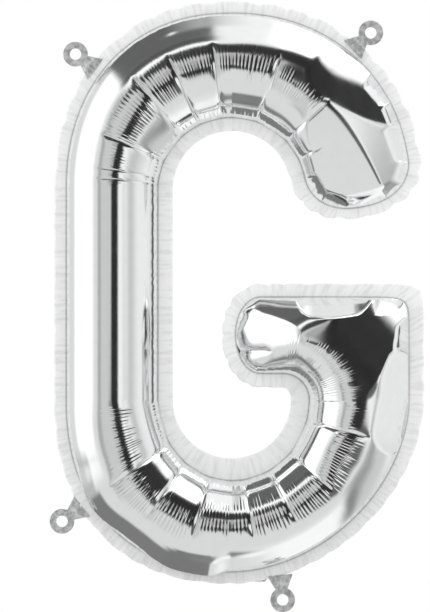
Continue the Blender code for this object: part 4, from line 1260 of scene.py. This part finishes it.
def studio_brightness(maths, direction, light):
    """The studio's brightness by direction: the plain wall's light, overlaid with each zone and each
    spot."""
    split = maths.tree.nodes.new("ShaderNodeSeparateXYZ")
    maths.tree.links.new(direction, split.inputs[0])
    right, ahead, up = split.outputs
    off_axis = maths.degrees(maths.times(ahead, -1.0))
    flat = maths.node("MAXIMUM", maths.length(right, up), 1e-5)
    across, rise = maths.node("DIVIDE", right, flat), maths.node("DIVIDE", up, flat)
    for _, turn, half, near, far, soft, value in ZONES:
        dot = maths.turned(across, rise, math.cos(math.radians(turn)), math.sin(math.radians(turn)))
        apart = maths.degrees(maths.node("MINIMUM", dot, 1.0))
        mask = maths.step(apart, half + soft, half - soft)
        mask = maths.times(mask, maths.step(off_axis, near - soft, near + soft))
        mask = maths.times(mask, maths.step(off_axis, far + soft, far - soft))
        light = maths.over(light, value, mask)
    behind = maths.minus(180.0, off_axis)
    level = {side: (maths.times(across, angle), maths.times(rise, angle))
             for side, angle in (("front", off_axis), ("back", behind))}
    for _, side, x, y, long_half, short_half, turn, soft, value in SPOTS:
        c, s = math.cos(math.radians(turn)), math.sin(math.radians(turn))
        dx, dy = maths.minus(level[side][0], x), maths.minus(level[side][1], y)
        along = maths.turned(dx, dy, c / long_half, s / long_half)
        beside = maths.turned(dx, dy, -s / short_half, c / short_half)
        mask = maths.step(maths.length(along, beside), 1.0 + soft, 1.0 - soft)
        light = maths.over(light, value, mask)
    return light


def background(tree, strength):
    """A white background of this strength."""
    node = tree.nodes.new("ShaderNodeBackground")
    feed(tree, WHITE, node.inputs["Color"])
    feed(tree, strength, node.inputs["Strength"])
    return node.outputs[0]


def either(tree, test, no, yes):
    """The first shader where the test is 0, and the second where it is 1."""
    mix = tree.nodes.new("ShaderNodeMixShader")
    for socket, value in zip(mix.inputs, (test, no, yes)):
        tree.links.new(value, socket)
    return mix.outputs[0]


class BALLOON_OT_stage(bpy.types.Operator):
    """Builds the floor, the studio and the camera"""

    bl_idname = "balloon.stage"
    bl_label = "Stage"

    def execute(self, context):
        self.floor()
        self.studio(context, context.scene.balloon_colours)
        self.camera(context)
        return {"FINISHED"}

    def floor(self):
        """A round floor, as rings of points about its middle."""
        turn = np.linspace(0.0, 2.0 * np.pi, FLOOR_SIDES, endpoint=False)[:, None]
        radius = np.array(FLOOR_RADII)[None, :]
        x, y = np.cos(turn) * radius, np.sin(turn) * radius
        points = np.stack([x, y, np.full_like(x, FLOOR_Z)], -1)
        mesh = grid_mesh("floor", points[:, ::-1], closed=True)
        merge_points(mesh, len(mesh.vertices))
        floor = linked("floor", mesh, bpy.data.materials["floor_look"])
        floor.visible_glossy = False

    def studio(self, context, colours):
        """The world: white to the camera, an even fill on dull surfaces, and the lit studio in
        what the foil reflects."""
        world = bpy.data.worlds.new("studio")
        context.scene.world = world
        world.use_nodes = True
        tree = world.node_tree
        tree.nodes.clear()
        maths = NodeMaths(tree)
        coordinates = tree.nodes.new("ShaderNodeTexCoord")
        light = studio_brightness(maths, coordinates.outputs["Generated"], colours.studio)
        reflected, seen = background(tree, light), background(tree, 1.0)
        ray = tree.nodes.new("ShaderNodeLightPath")
        sharp = either(tree, ray.outputs["Is Camera Ray"], reflected, seen)
        fill = background(tree, colours.fill)
        whole = either(tree, ray.outputs["Is Diffuse Ray"], sharp, fill)
        out = tree.nodes.new("ShaderNodeOutputWorld")
        tree.links.new(whole, out.inputs["Surface"])
        context.scene.view_settings.view_transform = "Standard"

    def camera(self, context):
        """The camera stands straight before the letter."""
        camera = bpy.data.cameras.new("camera")
        camera.sensor_fit = "VERTICAL"
        camera.sensor_height = SENSOR_HEIGHT
        camera.lens = SENSOR_HEIGHT * CAMERA_DISTANCE / FRAME_HEIGHT
        camera.clip_end = FAR_END
        obj = bpy.data.objects.new("camera", camera)
        obj.location = (FRAME_CENTRE[0] * MM, -CAMERA_DISTANCE * MM, FRAME_CENTRE[1] * MM)
        obj.rotation_euler = (math.pi / 2.0, 0.0, 0.0)
        context.scene.collection.objects.link(obj)
        context.scene.camera = obj


class BALLOON_PT_panel(bpy.types.Panel):
    """Lists the balloon's sizes, colours and operators in the sidebar"""

    bl_label = "Letter Foil Balloon"
    bl_idname = "BALLOON_PT_panel"
    bl_space_type = "VIEW_3D"
    bl_region_type = "UI"
    bl_category = "Balloon"

    def draw(self, context):
        for group in (context.scene.balloon_sizes, context.scene.balloon_colours):
            for name in group.__annotations__:
                self.layout.prop(group, name)
        for operator in OPERATORS:
            self.layout.operator(operator.bl_idname)


OPERATORS = (BALLOON_OT_finishes, BALLOON_OT_stage, BALLOON_OT_skins, BALLOON_OT_margin, BALLOON_OT_tabs)
CLASSES = (BalloonSizes, BalloonColours, *OPERATORS, BALLOON_PT_panel)


def register():
    for cls in CLASSES:
        bpy.utils.register_class(cls)
    bpy.types.Scene.balloon_sizes = bpy.props.PointerProperty(type=BalloonSizes)
    bpy.types.Scene.balloon_colours = bpy.props.PointerProperty(type=BalloonColours)


def unregister():
    del bpy.types.Scene.balloon_colours
    del bpy.types.Scene.balloon_sizes
    for cls in reversed(CLASSES):
        bpy.utils.unregister_class(cls)


def main():
    register()
    bpy.ops.balloon.finishes()
    bpy.ops.balloon.stage()
    bpy.ops.balloon.skins()
    bpy.ops.balloon.margin()
    bpy.ops.balloon.tabs()


if __name__ == "__main__":
    main()
